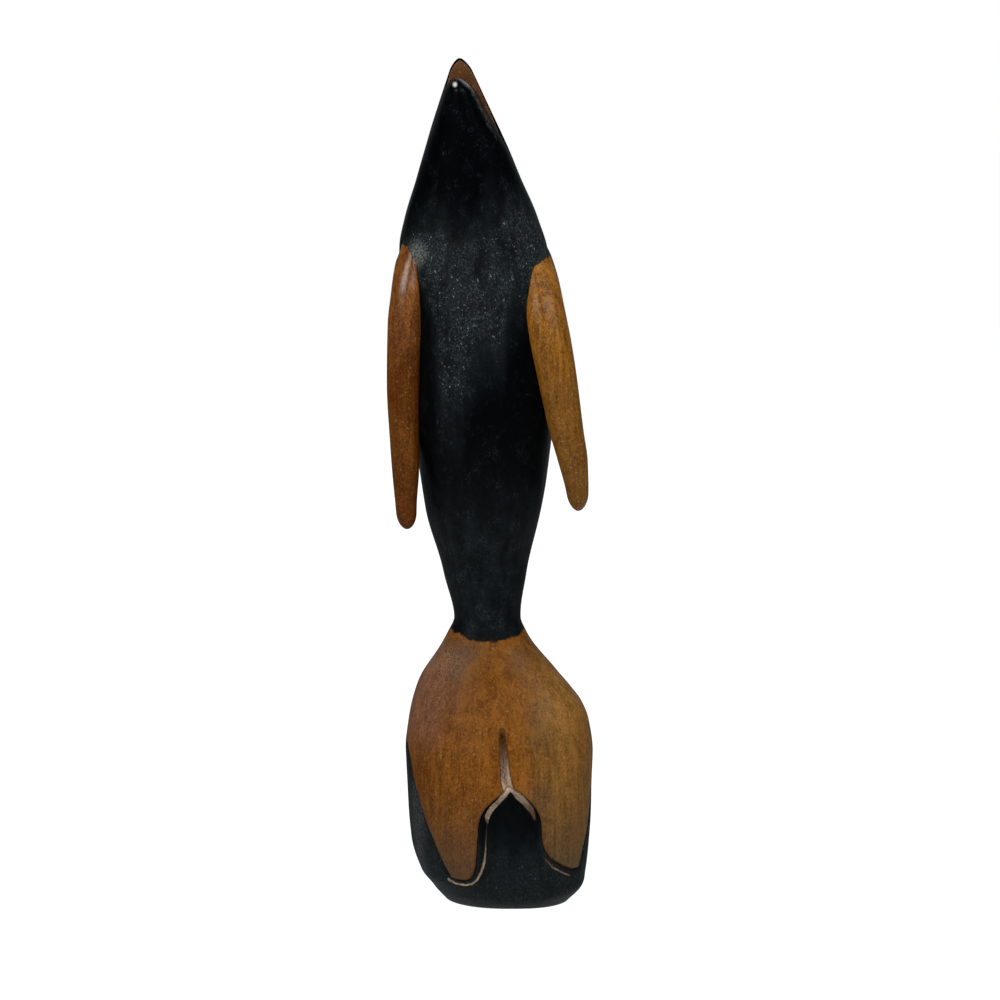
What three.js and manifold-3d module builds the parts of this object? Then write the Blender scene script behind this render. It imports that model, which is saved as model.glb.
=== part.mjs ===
// A carved wooden dolphin that stands on its tail with its beak up, made of glued and dowelled pieces.
// Millimetres, +Z up. The belly faces -Y, the dolphin's right side is -X, and the origin is the middle
// of the base's underside.
import * as THREE from "three";
import { mergeVertices } from "three/addons/utils/BufferGeometryUtils.js";
import Module from "manifold-3d";

const wasm = await Module();
wasm.setup();

// Glue line left between two pieces, and slack round a dowel in its hole.
const GLUE_LINE = 0.3;
const DOWEL_SLACK = 0.25;

// Floor to beak tip, and floor to the joint under the tail stock.
const HEIGHT = 250;
const TAIL_HEIGHT = 80;

// Base block and the spread of the flukes over it. Each station has its height as a share of the tail height,
// its width, its reach to the belly and back sides, and its sideways place.
const FOOT = { up: 0, width: 35.6, belly: 18.5, back: 17, sway: 3 };
const FOOT_EDGE = { up: 0.05, width: 44.4, belly: 22.4, back: 21, sway: 2.6 };
const HEEL = { up: 0.1075, width: 49, belly: 23.7, back: 22.4, sway: 1.3 };
const PLINTH = { up: 0.225, width: 53, belly: 24.2, back: 23.2, sway: 0.3 };
const BASE_SHOULDER = { up: 0.5525, width: 56, belly: 21.4, back: 20.5, sway: 0 };
const FLUKE_SPREAD = { up: 0.731, width: 52, belly: 17.3, back: 17, sway: -0.5 };
const FLUKE_NECK = { up: 0.85, width: 40.6, belly: 14, back: 14.8, sway: -2.5 };
const TAIL_JOINT = { up: 1, width: 21.6, belly: 10.6, back: 12.4, sway: -3.6 };

// Trunk and head, given in the same way, by shares of the height above the tail joint. The head leans
// forward.
const WRIST = { up: 0.028, width: 19.7, belly: 10, back: 12, sway: -3.6 };
const TAIL_STOCK = { up: 0.106, width: 25, belly: 12, back: 12.8, sway: -4.2 };
const LOIN = { up: 0.22, width: 34.4, belly: 16.6, back: 15.6, sway: -4.8 };
const BELLY = { up: 0.412, width: 42.3, belly: 22.4, back: 20, sway: -4.8 };
const CHEST = { up: 0.559, width: 41.6, belly: 20.4, back: 21.8, sway: -6.2 };
const NECK = { up: 0.676, width: 43.4, belly: 15.6, back: 20.4, sway: -7.6, lean: 0 };
const MELON = { up: 0.794, width: 31.2, belly: 14.2, back: 16.4, sway: -9, lean: 1.2 };
const BEAK_ROOT = { up: 0.859, width: 22.9, belly: 12.4, back: 10.4, sway: -9.9, lean: 2.2 };
const BEAK = { up: 0.941, width: 12.3, belly: 7.6, back: 5.8, sway: -10.8, lean: 3.7 };
const BEAK_TIP = { up: 1, width: 4.4, belly: 2.6, back: 3.4, sway: -11.6, lean: 4.6 };
const BEAK_TIP_ROUND = 3;

// How square the cross sections are: 2 is an ellipse, and more is nearer to a rectangle.
const TRUNK_SQUARENESS = 2.2;
const BASE_SQUARENESS = 2.6;
const BASE_CUT_CORNER_SQUARENESS = 2.1;

// Base: the core that fills the flukes from behind, given by its rise above the base's shoulder.
const CORE_TOP_RISE = 18;
const CORE_ROUND_RISE = 6;

// Flukes: their thickness over the base, the slope of their back, the notch and the two lobes.
const FLUKE_THICKNESS = 5;
const FLUKE_BACK_AT_FOOT = -20;
const FLUKE_BACK_AT_SPREAD = 2;
const FLUKE_BACK_AT_JOINT = 3;
const NOTCH_APEX = { x: 3.4, z: 34.8 };
const NOTCH_RECESS = 3;
const GROOVE = { length: 17, width: 2.4, depth: 1.8, lean: -3 };
const RIGHT_LOBE = {
  tipX: -10.5, tipZ: 10, tipWidth: 8, innerX: -6.8, innerZ: 22.5, outerX: -20.6, outerZ: 25,
};
const LEFT_LOBE = {
  tipX: 22, tipZ: 12, tipWidth: 3.4, innerX: 12.2, innerZ: 22.5, outerX: 24.7, outerZ: 25,
};
const LOBE_CURVE = { shoulderDrop: 10, shoulderIn: 1, notchDrop: 5, tipRise: 6.5, tipFlare: 2 };

// Mouth: its length from the beak tip, the lining between the jaws, and the shorter lower jaw.
const MOUTH_LENGTH = 31;
const MOUTH_CORNER_Y = -3.8;
const MOUTH_TIP_Y = -5;
const JAW_SEAT_SLOPE = 0.37;
const LINING_THICKNESS = 1.2;
const LINING_INSET = 0.5;
const JAW_SHORTFALL = 5.4;
const JAW_TIP_ROUND = 4;
const JAW_SIDE_TRIM = 1.8;

// Flippers: size, drop of the top below the neck, place in front of the axis at the upper dowel, lower dowel
// and tip, stand-off of the blade's middle from the skin, lean of the top inwards and of the tip outwards.
const RIGHT_FLIPPER = {
  length: 82.4, width: 10.5, thickness: 9, topDrop: 0.6,
  upperDepth: 12, lowerDepth: 10.5, tipDepth: 9, standOff: 3.85, topLean: 0.6, tipLean: -0.5,
};
const LEFT_FLIPPER = {
  length: 75.6, width: 12.4, thickness: 9, topDrop: 2.2,
  upperDepth: 15.4, lowerDepth: 12.9, tipDepth: 6.5, standOff: 5.2, topLean: 1.2, tipLean: 4.7,
};
const FLIPPER_DOWEL_DROP = 20;
const FLIPPER_DOWEL_PITCH = 20;

// Dorsal fin on the back.
const FIN_DROP = 11;
const FIN_LENGTH = 36;
const FIN_HEIGHT = 15;
const FIN_SWEEP = 4;
const FIN_THICKNESS = 7;
const FIN_TIP_THICKNESS = 2.6;
const FIN_DOWEL_PITCH = 17;

// Eye pegs.
const EYE_DIAMETER = 4.6;
const EYE_LENGTH = 5;
const EYE_DOME = 0.9;
const EYE_DROP = 2;
const EYE_BACK = 8.5;

// Dowels: diameter and the length that each end goes into its piece.
const TAIL_DOWEL = { diameter: 8, inBody: 24, inBase: 28 };
const FLUKE_DOWEL = { diameter: 3, inBase: 8, cover: 2, height: 34, rightX: -11, leftX: 13 };
const JAW_DOWEL = { diameter: 3, inBody: 9, inJaw: 10, forward: 6 };
const FLIPPER_DOWEL = { diameter: 2.5, inBody: 9, inFlipper: 4.5, setBack: 1.6 };
const FIN_DOWEL = { diameter: 2.5, inBody: 9, inFin: 4.5 };

// Facets round a section, and wide reaches for cutting shapes that pass right through the object.
const TRUNK_SIDES = 28;
const FLIPPER_SIDES = 14;
const DOWEL_SIDES = 12;
const REACH = 2 * FLUKE_SPREAD.width;

const LACQUER = new THREE.MeshStandardMaterial({ color: 0x17191b, roughness: 0.42, metalness: 0 });
const WOOD = new THREE.MeshStandardMaterial({ color: 0x7c5128, roughness: 0.5, metalness: 0 });
const DOWEL_WOOD = new THREE.MeshStandardMaterial({ color: 0xcfae7c, roughness: 0.8, metalness: 0 });

// A smooth curve through the knots that never overshoots them: cubic pieces with limited slopes.
function curveThrough(xs, ys) {
  const slope = xs.slice(1).map((x, i) => (ys[i + 1] - ys[i]) / (x - xs[i]));
  const tangent = xs.map((x, i) => {
    if (i === 0) return slope[0];
    if (i === xs.length - 1) return slope[i - 1];
    const before = slope[i - 1], after = slope[i];
    return before * after <= 0 ? 0 : (2 * before * after) / (before + after);
  });
  return (x) => {
    let i = xs.findIndex((knot) => knot > x) - 1;
    if (i < 0) i = x <= xs[0] ? 0 : xs.length - 2;
    const span = xs[i + 1] - xs[i];
    const t = THREE.MathUtils.clamp((x - xs[i]) / span, 0, 1);
    const a = 2 * t ** 3 - 3 * t ** 2 + 1, b = t ** 3 - 2 * t ** 2 + t, c = t ** 3 - t ** 2;
    return a * ys[i] + b * span * tangent[i] + (1 - a) * ys[i + 1] + c * span * tangent[i + 1];
  };
}

// Cross sections through stations between two heights: a function of height.
function profileOf(stations, from, to) {
  const heights = stations.map((station) => from + station.up * (to - from));
  const fields = ["width", "belly", "back", "sway", "lean"];
  const curves = fields.map((field) => curveThrough(heights, stations.map((station) => station[field] ?? 0)));
  const at = (z) => Object.fromEntries(fields.map((field, i) => [field, curves[i](z)]));
  return { at, heights };
}

// A section made larger by a distance on every side.
function grown(section, distance) {
  return {
    ...section,
    width: section.width + 2 * distance,
    belly: section.belly + distance,
    back: section.back + distance,
  };
}

// A section drawn in towards its axis by a factor.
function drawnIn(section, factor) {
  return {
    ...section,
    width: section.width * factor,
    belly: section.belly * factor,
    back: section.back * factor,
  };
}

// The shrinking factor of a round end of the given depth, at a height below its tip.
function roundEnd(tip, depth, z) {
  const u = THREE.MathUtils.clamp((tip - z) / depth, 0, 1);
  return Math.sqrt(1 - (1 - u) ** 2);
}

// Evenly spaced heights, and heights that crowd towards a round end.
function levels(from, to, count) {
  return Array.from({ length: count + 1 }, (_, i) => from + ((to - from) * i) / count);
}
function roundLevels(tip, depth, count) {
  return Array.from({ length: count }, (_, i) => {
    const angle = (Math.PI / 2) * (1 - (i + 0.85) / count);
    return tip - depth * (1 - Math.cos(angle));
  });
}

// A closed solid through horizontal sections: a cylinder whose rings are moved onto the sections.
function loft(heights, sectionAt, sides, squareness) {
  const rows = heights.length - 1;
  const geometry = new THREE.CylinderGeometry(1, 1, 1, sides, rows).rotateX(Math.PI / 2);
  const position = geometry.attributes.position;
  const sections = heights.map(sectionAt);
  const shaped = (value, power) => Math.sign(value) * Math.abs(value) ** (2 / power);
  for (let i = 0; i < position.count; i++) {
    const radius = Math.round(Math.hypot(position.getX(i), position.getY(i)));
    const fromFront = Math.atan2(position.getX(i), -position.getY(i));
    const step = Math.round((fromFront * sides) / (2 * Math.PI));
    const angle = (2 * Math.PI * step) / sides - Math.PI / 2;
    const row = Math.round((position.getZ(i) + 0.5) * rows);
    const { width, belly, back, sway, lean } = sections[row];
    const power = squareness(Math.cos(angle), Math.sin(angle));
    const x = sway + (radius * shaped(Math.cos(angle), power) * width) / 2;
    const y = radius * shaped(Math.sin(angle), power) * (Math.sin(angle) < 0 ? belly : back);
    position.setXYZ(i, x, y - lean, heights[row]);
  }
  return solidOf(geometry);
}

const trunkSquareness = () => TRUNK_SQUARENESS;
const roundSquareness = () => 2;
const baseSquareness = (side, depth) =>
  side < 0 && depth < 0 ? BASE_CUT_CORNER_SQUARENESS : BASE_SQUARENESS;

// A three.js geometry as a solid for cutting and joining.
function solidOf(geometry) {
  const bare = new THREE.BufferGeometry();
  bare.setAttribute("position", geometry.attributes.position);
  bare.setIndex(geometry.index);
  const merged = mergeVertices(bare, 1e-3);
  const kept = [];
  const index = merged.index.array;
  for (let i = 0; i < index.length; i += 3) {
    const [a, b, c] = [index[i], index[i + 1], index[i + 2]];
    if (a !== b && b !== c && c !== a) kept.push(a, b, c);
  }
  return new wasm.Manifold(
    new wasm.Mesh({
      numProp: 3,
      vertProperties: merged.attributes.position.array,
      triVerts: new Uint32Array(kept),
    }),
  );
}

// A solid as a named mesh.
function meshOf(name, solid, material) {
  const { vertProperties, triVerts } = solid.getMesh();
  const geometry = new THREE.BufferGeometry();
  geometry.setAttribute("position", new THREE.BufferAttribute(vertProperties, 3));
  geometry.setIndex(new THREE.BufferAttribute(triVerts, 1));
  geometry.computeVertexNormals();
  const mesh = new THREE.Mesh(geometry, material);
  mesh.name = name;
  return mesh;
}

// A flat outline as a long prism, its plane turned to a view of the object.
const X_AXIS = new THREE.Vector3(1, 0, 0);
const Y_AXIS = new THREE.Vector3(0, 1, 0);
const Z_AXIS = new THREE.Vector3(0, 0, 1);
const FRONT_VIEW = new THREE.Matrix4().makeBasis(X_AXIS, Z_AXIS, Y_AXIS.clone().negate());
const SIDE_VIEW = new THREE.Matrix4().makeBasis(Y_AXIS, Z_AXIS, X_AXIS);
function prism(points, basis) {
  const shape = new THREE.Shape(points);
  const geometry = new THREE.ExtrudeGeometry(shape, { depth: 2 * REACH, bevelEnabled: false });
  return solidOf(geometry.translate(0, 0, -REACH).applyMatrix4(basis));
}

// Outlines as seen from the front (x, z) and cut through the depth, or from the side (y, z).
const frontPrism = (points) => prism(points, FRONT_VIEW);
const sidePrism = (points) => prism(points, SIDE_VIEW);

// A closed outline moved outwards by a distance.
function widened(points, distance) {
  const turn = THREE.ShapeUtils.isClockWise(points) ? -1 : 1;
  return points.map((point, i) => {
    const before = points[(i + points.length - 1) % points.length];
    const after = points[(i + 1) % points.length];
    const inward = point.clone().sub(before).normalize(), outward = after.clone().sub(point).normalize();
    const side = new THREE.Vector2(inward.y + outward.y, -inward.x - outward.x).normalize();
    const spread = Math.max(0.5, side.x * inward.y - side.y * inward.x);
    return point.clone().addScaledVector(side, (turn * distance) / spread);
  });
}

// A round rod between two points, and the hole that takes it.
function rod(from, to, diameter) {
  const length = to.distanceTo(from), direction = to.clone().sub(from).normalize();
  const geometry = new THREE.CylinderGeometry(diameter / 2, diameter / 2, length, DOWEL_SIDES);
  const turn = new THREE.Quaternion().setFromUnitVectors(Y_AXIS, direction);
  const middle = from.clone().add(to).multiplyScalar(0.5);
  geometry.applyMatrix4(new THREE.Matrix4().compose(middle, turn, new THREE.Vector3(1, 1, 1)));
  return solidOf(geometry);
}
function dowel(from, to, diameter) {
  const direction = to.clone().sub(from).normalize();
  const past = DOWEL_SLACK + GLUE_LINE;
  const hole = rod(
    from.clone().addScaledVector(direction, -past),
    to.clone().addScaledVector(direction, past),
    (diameter + 2 * DOWEL_SLACK) / Math.cos(Math.PI / DOWEL_SIDES),
  );
  return { peg: rod(from, to, diameter), hole };
}

// Stations up the mound that the tail stands on, and up the trunk.
const tailZ = TAIL_HEIGHT, tipZ = HEIGHT;
const mound = profileOf(
  [FOOT, FOOT_EDGE, HEEL, PLINTH, BASE_SHOULDER, FLUKE_SPREAD, FLUKE_NECK, TAIL_JOINT], 0, tailZ,
);
const [footEdgeZ, heelZ, , shoulderZ, spreadZ] = mound.heights.slice(1, 6);
const trunk = profileOf(
  [{ ...TAIL_JOINT, up: 0 }, WRIST, TAIL_STOCK, LOIN, BELLY, CHEST, NECK, MELON, BEAK_ROOT, BEAK, BEAK_TIP],
  tailZ, tipZ,
);
const [chestZ, neckZ, melonZ] = trunk.heights.slice(5, 8);

// Trunk and head.
const trunkAt = (grow) => (z) =>
  drawnIn(grown(trunk.at(z), grow), roundEnd(tipZ + grow, BEAK_TIP_ROUND, z));
function trunkSolid(grow) {
  const heights = [
    ...levels(tailZ, tipZ - BEAK_TIP_ROUND, 32),
    ...roundLevels(tipZ + grow, BEAK_TIP_ROUND, 4),
  ];
  return loft(heights, trunkAt(grow), TRUNK_SIDES, trunkSquareness);
}

// Where the trunk's skin lies to one side of the axis, at a height and a depth in front of the axis.
function skinX(z, y, side) {
  const { width, belly, back, sway, lean } = trunk.at(z);
  const fromAxis = y + lean, share = Math.abs(fromAxis) / (fromAxis < 0 ? belly : back);
  return sway + side * (width / 2) * (1 - share ** TRUNK_SQUARENESS) ** (1 / TRUNK_SQUARENESS);
}

// The mound's skin on the belly side, at a place seen from the front.
function moundY(x, z) {
  const { width, belly, sway } = mound.at(z);
  const power = baseSquareness(x - sway, -1);
  return -belly * (1 - (Math.abs(x - sway) / (width / 2)) ** power) ** (1 / power);
}

// Mouth: the face of the upper jaw runs from the mouth's corner to the tip, and the lower jaw sits on a
// sloping seat in front of the corner.
const mouthZ = tipZ - MOUTH_LENGTH;
const mouthY = (z) =>
  MOUTH_CORNER_Y + ((MOUTH_TIP_Y - MOUTH_CORNER_Y) * (z - mouthZ)) / MOUTH_LENGTH;
const seatZ = (y) => mouthZ + JAW_SEAT_SLOPE * (y - MOUTH_CORNER_Y);
function mouthRegion(forward, lift) {
  const top = tipZ + MOUTH_LENGTH;
  const cornerY = MOUTH_CORNER_Y - forward;
  return sidePrism([
    new THREE.Vector2(cornerY, seatZ(cornerY) + lift),
    new THREE.Vector2(mouthY(top) - forward, top),
    new THREE.Vector2(-REACH, top),
    new THREE.Vector2(-REACH, seatZ(-REACH) + lift),
  ]);
}
const liningBack = GLUE_LINE, liningFront = GLUE_LINE + LINING_THICKNESS;
const jawBack = liningFront + GLUE_LINE;

// Lower jaw: the head's own skin, trimmed on its left side and ending short of the beak tip.
const jawTipZ = tipZ - JAW_SHORTFALL;
function jawAt(z) {
  const full = trunk.at(z);
  const trim = JAW_SIDE_TRIM * THREE.MathUtils.clamp((z - mouthZ) / (jawTipZ - mouthZ), 0, 1);
  const section = { ...full, width: full.width - trim, sway: full.sway - trim / 2 };
  return drawnIn(section, roundEnd(jawTipZ, JAW_TIP_ROUND, z));
}
const jawStartZ = seatZ(-REACH / 4);
const jawLevels = [
  ...levels(jawStartZ, jawTipZ - JAW_TIP_ROUND, 10),
  ...roundLevels(jawTipZ, JAW_TIP_ROUND, 4),
];
let lowerJaw = loft(jawLevels, jawAt, TRUNK_SIDES, trunkSquareness)
  .intersect(mouthRegion(jawBack, GLUE_LINE));

// Mouth lining: a thin plate between the jaws, a little inside the head's outline.
const mouthLining = trunkSolid(-LINING_INSET)
  .intersect(mouthRegion(liningBack, GLUE_LINE))
  .subtract(mouthRegion(liningFront, GLUE_LINE - LINING_THICKNESS * 3));

let body = trunkSolid(0).subtract(mouthRegion(0, 0));

// Flippers: blades that hang from the shoulders, seated on the trunk's skin.
const bodyClearance = trunkSolid(GLUE_LINE);
const bladeShape = curveThrough(
  [0, 0.03, 0.09, 0.145, 0.2, 0.31, 0.43, 0.55, 0.74, 0.845, 0.91, 0.968, 1],
  [0.14, 0.44, 0.62, 0.715, 0.77, 0.875, 0.92, 0.97, 1, 0.84, 0.72, 0.5, 0.2],
);
const bladeLevels = [0, 0.02, 0.05, 0.1, 0.18, 0.29, 0.4, 0.5, 0.6, 0.7, 0.78, 0.85, 0.91, 0.96, 1];
function flipper(spec, side) {
  const top = neckZ - spec.topDrop, tip = top - spec.length;
  const upper = top - FLIPPER_DOWEL_DROP, lower = upper - FLIPPER_DOWEL_PITCH;
  const upperX = skinX(upper, -spec.upperDepth, side) + side * spec.standOff;
  const lowerX = skinX(lower, -spec.lowerDepth, side) + side * spec.standOff;
  const across = curveThrough(
    [tip, lower, upper, top],
    [lowerX + side * spec.tipLean, lowerX, upperX, upperX - side * spec.topLean],
  );
  const depth = curveThrough(
    [tip, lower, upper, top],
    [spec.tipDepth, spec.lowerDepth, spec.upperDepth, spec.upperDepth],
  );
  const bladeAt = (z) => {
    const size = bladeShape((z - tip) / spec.length), half = (spec.thickness * size) / 2;
    return { width: spec.width * size, belly: half, back: half, sway: across(z), lean: depth(z) };
  };
  const heights = bladeLevels.map((level) => tip + level * spec.length);
  const blade = loft(heights, bladeAt, FLIPPER_SIDES, roundSquareness);
  const dowels = [upper, lower].map((z) => {
    const y = FLIPPER_DOWEL.setBack - depth(z), skin = skinX(z, y, side);
    return dowel(
      new THREE.Vector3(skin - side * FLIPPER_DOWEL.inBody, y, z),
      new THREE.Vector3(skin + side * FLIPPER_DOWEL.inFlipper, y, z),
      FLIPPER_DOWEL.diameter,
    );
  });
  return { blade: blade.subtract(bodyClearance), dowels };
}
const rightFlipper = flipper(RIGHT_FLIPPER, -1);
const leftFlipper = flipper(LEFT_FLIPPER, 1);

// Dorsal fin: a swept outline on the back, thinner towards its tip.
const finZ = chestZ - FIN_DROP;
const finTop = finZ + FIN_LENGTH / 2, finBottom = finZ - FIN_LENGTH / 2;
const finEdge = FIN_THICKNESS / 4;
const finTipY = trunk.at(finZ).back + FIN_HEIGHT - finEdge, finTipZ = finBottom - FIN_SWEEP + finEdge;
const finOutline = new THREE.Shape();
finOutline.moveTo(0, finTop);
finOutline.lineTo(trunk.at(finTop).back, finTop);
finOutline.quadraticCurveTo(finTipY - 1, finTop - FIN_LENGTH / 4, finTipY, finTipZ);
finOutline.quadraticCurveTo(trunk.at(finBottom).back + FIN_HEIGHT / 2, finBottom + FIN_SWEEP,
  trunk.at(finBottom).back, finBottom);
finOutline.lineTo(0, finBottom);
const finGeometry = new THREE.ExtrudeGeometry(finOutline, {
  depth: FIN_THICKNESS / 2,
  curveSegments: 8,
  bevelEnabled: true,
  bevelThickness: finEdge,
  bevelSize: finEdge,
  bevelSegments: 2,
});
finGeometry.translate(0, 0, -finEdge).applyMatrix4(SIDE_VIEW);
const finPoints = finGeometry.attributes.position;
for (let i = 0; i < finPoints.count; i++) {
  const out = THREE.MathUtils.clamp((finPoints.getY(i) - finTipY + FIN_HEIGHT) / FIN_HEIGHT, 0, 1);
  const thin = THREE.MathUtils.lerp(1, FIN_TIP_THICKNESS / FIN_THICKNESS, out);
  finPoints.setX(i, trunk.at(finZ).sway + finPoints.getX(i) * thin);
}
let dorsalFin = solidOf(finGeometry).subtract(bodyClearance);
const finDowels = [FIN_DOWEL_PITCH / 2, -FIN_DOWEL_PITCH / 2].map((offset) => {
  const { back } = trunk.at(finZ + offset);
  return dowel(
    new THREE.Vector3(trunk.at(finZ).sway, back - FIN_DOWEL.inBody, finZ + offset),
    new THREE.Vector3(trunk.at(finZ).sway, back + FIN_DOWEL.inFin, finZ + offset),
    FIN_DOWEL.diameter,
  );
});

// Eyes: short pegs with a domed end, let into the sides of the head.
function eye(side) {
  const z = melonZ - EYE_DROP, radius = EYE_DIAMETER / 2;
  const skin = skinX(z, EYE_BACK, side);
  const profile = [new THREE.Vector2(0, -EYE_LENGTH), new THREE.Vector2(radius, -EYE_LENGTH)];
  for (const angle of [0, 30, 60]) {
    const turn = THREE.MathUtils.degToRad(angle);
    profile.push(new THREE.Vector2(radius * Math.cos(turn), EYE_DOME * Math.sin(turn)));
  }
  profile.push(new THREE.Vector2(0, EYE_DOME));
  const geometry = new THREE.LatheGeometry(profile, DOWEL_SIDES).rotateZ((-side * Math.PI) / 2);
  const hole = rod(
    new THREE.Vector3(skin - side * (EYE_LENGTH + DOWEL_SLACK), EYE_BACK, z),
    new THREE.Vector3(skin + side * EYE_LENGTH, EYE_BACK, z),
    (EYE_DIAMETER + 2 * DOWEL_SLACK) / Math.cos(Math.PI / DOWEL_SIDES),
  );
  return { peg: solidOf(geometry.translate(skin, EYE_BACK, z)), hole };
}
const rightEye = eye(-1);
const leftEye = eye(1);

// Front outline of the flukes: full width at the root, then two lobes with a notch between them.
function flukePoints() {
  const outline = new THREE.Shape();
  const edge = BASE_SHOULDER.width / 2, top = tailZ + REACH;
  const right = RIGHT_LOBE, left = LEFT_LOBE;
  const { shoulderDrop, shoulderIn, notchDrop, tipRise, tipFlare } = LOBE_CURVE;
  const bend = (x, z, toX, toZ) => outline.quadraticCurveTo(x, z, toX, toZ);
  const rightHeel = right.tipX - right.tipWidth / 2, rightToe = right.tipX + right.tipWidth / 2;
  const leftToe = left.tipX - left.tipWidth / 2, leftHeel = left.tipX + left.tipWidth / 2;
  outline.moveTo(-REACH, top);
  outline.lineTo(-REACH, shoulderZ);
  outline.lineTo(-edge, shoulderZ);
  bend(-edge + shoulderIn, shoulderZ - shoulderDrop, right.outerX, right.outerZ);
  bend(rightHeel - tipFlare, right.tipZ + tipRise, rightHeel, right.tipZ);
  outline.lineTo(rightToe, right.tipZ);
  bend(rightToe + tipFlare / 2, right.tipZ + tipRise, right.innerX, right.innerZ);
  bend(right.innerX, NOTCH_APEX.z - notchDrop, NOTCH_APEX.x, NOTCH_APEX.z);
  bend(left.innerX - tipFlare, NOTCH_APEX.z - notchDrop, left.innerX, left.innerZ);
  bend(left.innerX + tipFlare / 2, left.tipZ + tipFlare, leftToe, left.tipZ);
  outline.lineTo(leftHeel, left.tipZ);
  bend(left.outerX - tipFlare / 2, left.outerZ - tipRise, left.outerX, left.outerZ);
  bend(edge - shoulderIn, shoulderZ - shoulderDrop, edge, shoulderZ);
  outline.lineTo(REACH, shoulderZ);
  outline.lineTo(REACH, top);
  return outline.getPoints(4);
}
const flukeOutline = flukePoints();

// The flukes lie in front of a bent plane that leans back from the foot up to the tail joint.
function flukeFront(clear) {
  const foot = new THREE.Vector2(FLUKE_BACK_AT_FOOT, 0);
  const spread = new THREE.Vector2(FLUKE_BACK_AT_SPREAD, spreadZ);
  const joint = new THREE.Vector2(FLUKE_BACK_AT_JOINT, tailZ);
  const outline = [
    new THREE.Vector2(-REACH, -REACH), new THREE.Vector2(FLUKE_BACK_AT_FOOT, -REACH), foot, spread, joint,
    new THREE.Vector2(FLUKE_BACK_AT_JOINT, tailZ + REACH), new THREE.Vector2(-REACH, tailZ + REACH),
  ];
  return sidePrism(widened(outline, clear));
}

// The mound's own skin, sunk by a distance that may change with height.
const moundLevels = [...levels(0, footEdgeZ, 2), ...levels(heelZ, tailZ, 15)];
const moundSolid = (sink) =>
  loft(moundLevels, (z) => grown(mound.at(z), -sink(z)), TRUNK_SIDES, baseSquareness);

// The base's core inside the flukes: the mound sunk by a distance, closing round above a height.
const coreTopZ = shoulderZ + CORE_TOP_RISE;
const coreRoundZ = shoulderZ + CORE_ROUND_RISE;
function coreSolid(sink, top) {
  const heights = [
    ...levels(0, footEdgeZ, 2),
    ...levels(heelZ, coreRoundZ, 7),
    ...roundLevels(top, top - coreRoundZ, 5),
  ];
  const sectionAt = (z) => drawnIn(grown(mound.at(z), -sink), roundEnd(top, top - coreRoundZ, z));
  return loft(heights, sectionAt, TRUNK_SIDES, baseSquareness);
}
const core = coreSolid(FLUKE_THICKNESS + GLUE_LINE, coreTopZ);
const coreClearance = coreSolid(FLUKE_THICKNESS, coreTopZ + GLUE_LINE);

// Knife-cut groove down the middle of the flukes, and the sloping recess in the base between the lobes.
const grooveCut = frontPrism([
  new THREE.Vector2(NOTCH_APEX.x + GROOVE.lean, NOTCH_APEX.z + GROOVE.length),
  new THREE.Vector2(NOTCH_APEX.x - GROOVE.width / 2, NOTCH_APEX.z - GROOVE.width),
  new THREE.Vector2(NOTCH_APEX.x + GROOVE.width / 2, NOTCH_APEX.z - GROOVE.width),
]).intersect(flukeFront(0)).subtract(moundSolid(() => GROOVE.depth));
const recessFoot = Math.min(RIGHT_LOBE.tipZ, LEFT_LOBE.tipZ);
const recessAt = (z) =>
  NOTCH_RECESS * THREE.MathUtils.clamp((z - recessFoot) / (NOTCH_APEX.z - recessFoot), 0.02, 1);
const recessCut = frontPrism([
  new THREE.Vector2(NOTCH_APEX.x, NOTCH_APEX.z),
  new THREE.Vector2(RIGHT_LOBE.innerX, RIGHT_LOBE.innerZ + LOBE_CURVE.notchDrop),
  new THREE.Vector2(RIGHT_LOBE.tipX + RIGHT_LOBE.tipWidth / 2, RIGHT_LOBE.tipZ),
  new THREE.Vector2(LEFT_LOBE.tipX - LEFT_LOBE.tipWidth / 2, RIGHT_LOBE.tipZ),
  new THREE.Vector2(LEFT_LOBE.innerX, LEFT_LOBE.innerZ + LOBE_CURVE.notchDrop),
]).intersect(flukeFront(0)).subtract(moundSolid(recessAt));

// The mound is shared out between the flukes in front and the base, with a glue line under the tail stock.
const tailSeat = sidePrism([
  new THREE.Vector2(-REACH, tailZ - GLUE_LINE), new THREE.Vector2(REACH, tailZ - GLUE_LINE),
  new THREE.Vector2(REACH, tailZ + REACH), new THREE.Vector2(-REACH, tailZ + REACH),
]);
const wholeMound = moundSolid(() => 0).subtract(tailSeat);
let tailFlukes = wholeMound
  .intersect(frontPrism(flukeOutline))
  .intersect(flukeFront(0))
  .subtract(coreClearance)
  .subtract(grooveCut);
let base = wholeMound
  .subtract(frontPrism(widened(flukeOutline, GLUE_LINE)).intersect(flukeFront(GLUE_LINE)).subtract(core))
  .subtract(recessCut);

// Dowels that hold the tail, the lobes and the lower jaw.
const tailDowel = dowel(
  new THREE.Vector3(TAIL_JOINT.sway, 0, coreTopZ - TAIL_DOWEL.inBase),
  new THREE.Vector3(TAIL_JOINT.sway, 0, tailZ + TAIL_DOWEL.inBody),
  TAIL_DOWEL.diameter,
);
const [flukeDowelRight, flukeDowelLeft] = [FLUKE_DOWEL.rightX, FLUKE_DOWEL.leftX].map((x) => {
  const skin = moundY(x, FLUKE_DOWEL.height);
  return dowel(
    new THREE.Vector3(x, skin + FLUKE_THICKNESS + FLUKE_DOWEL.inBase, FLUKE_DOWEL.height),
    new THREE.Vector3(x, skin + FLUKE_DOWEL.cover, FLUKE_DOWEL.height),
    FLUKE_DOWEL.diameter,
  );
});
const jawDowelY = MOUTH_CORNER_Y - JAW_DOWEL.forward;
const jawDowelX = trunk.at(mouthZ).sway;
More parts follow.
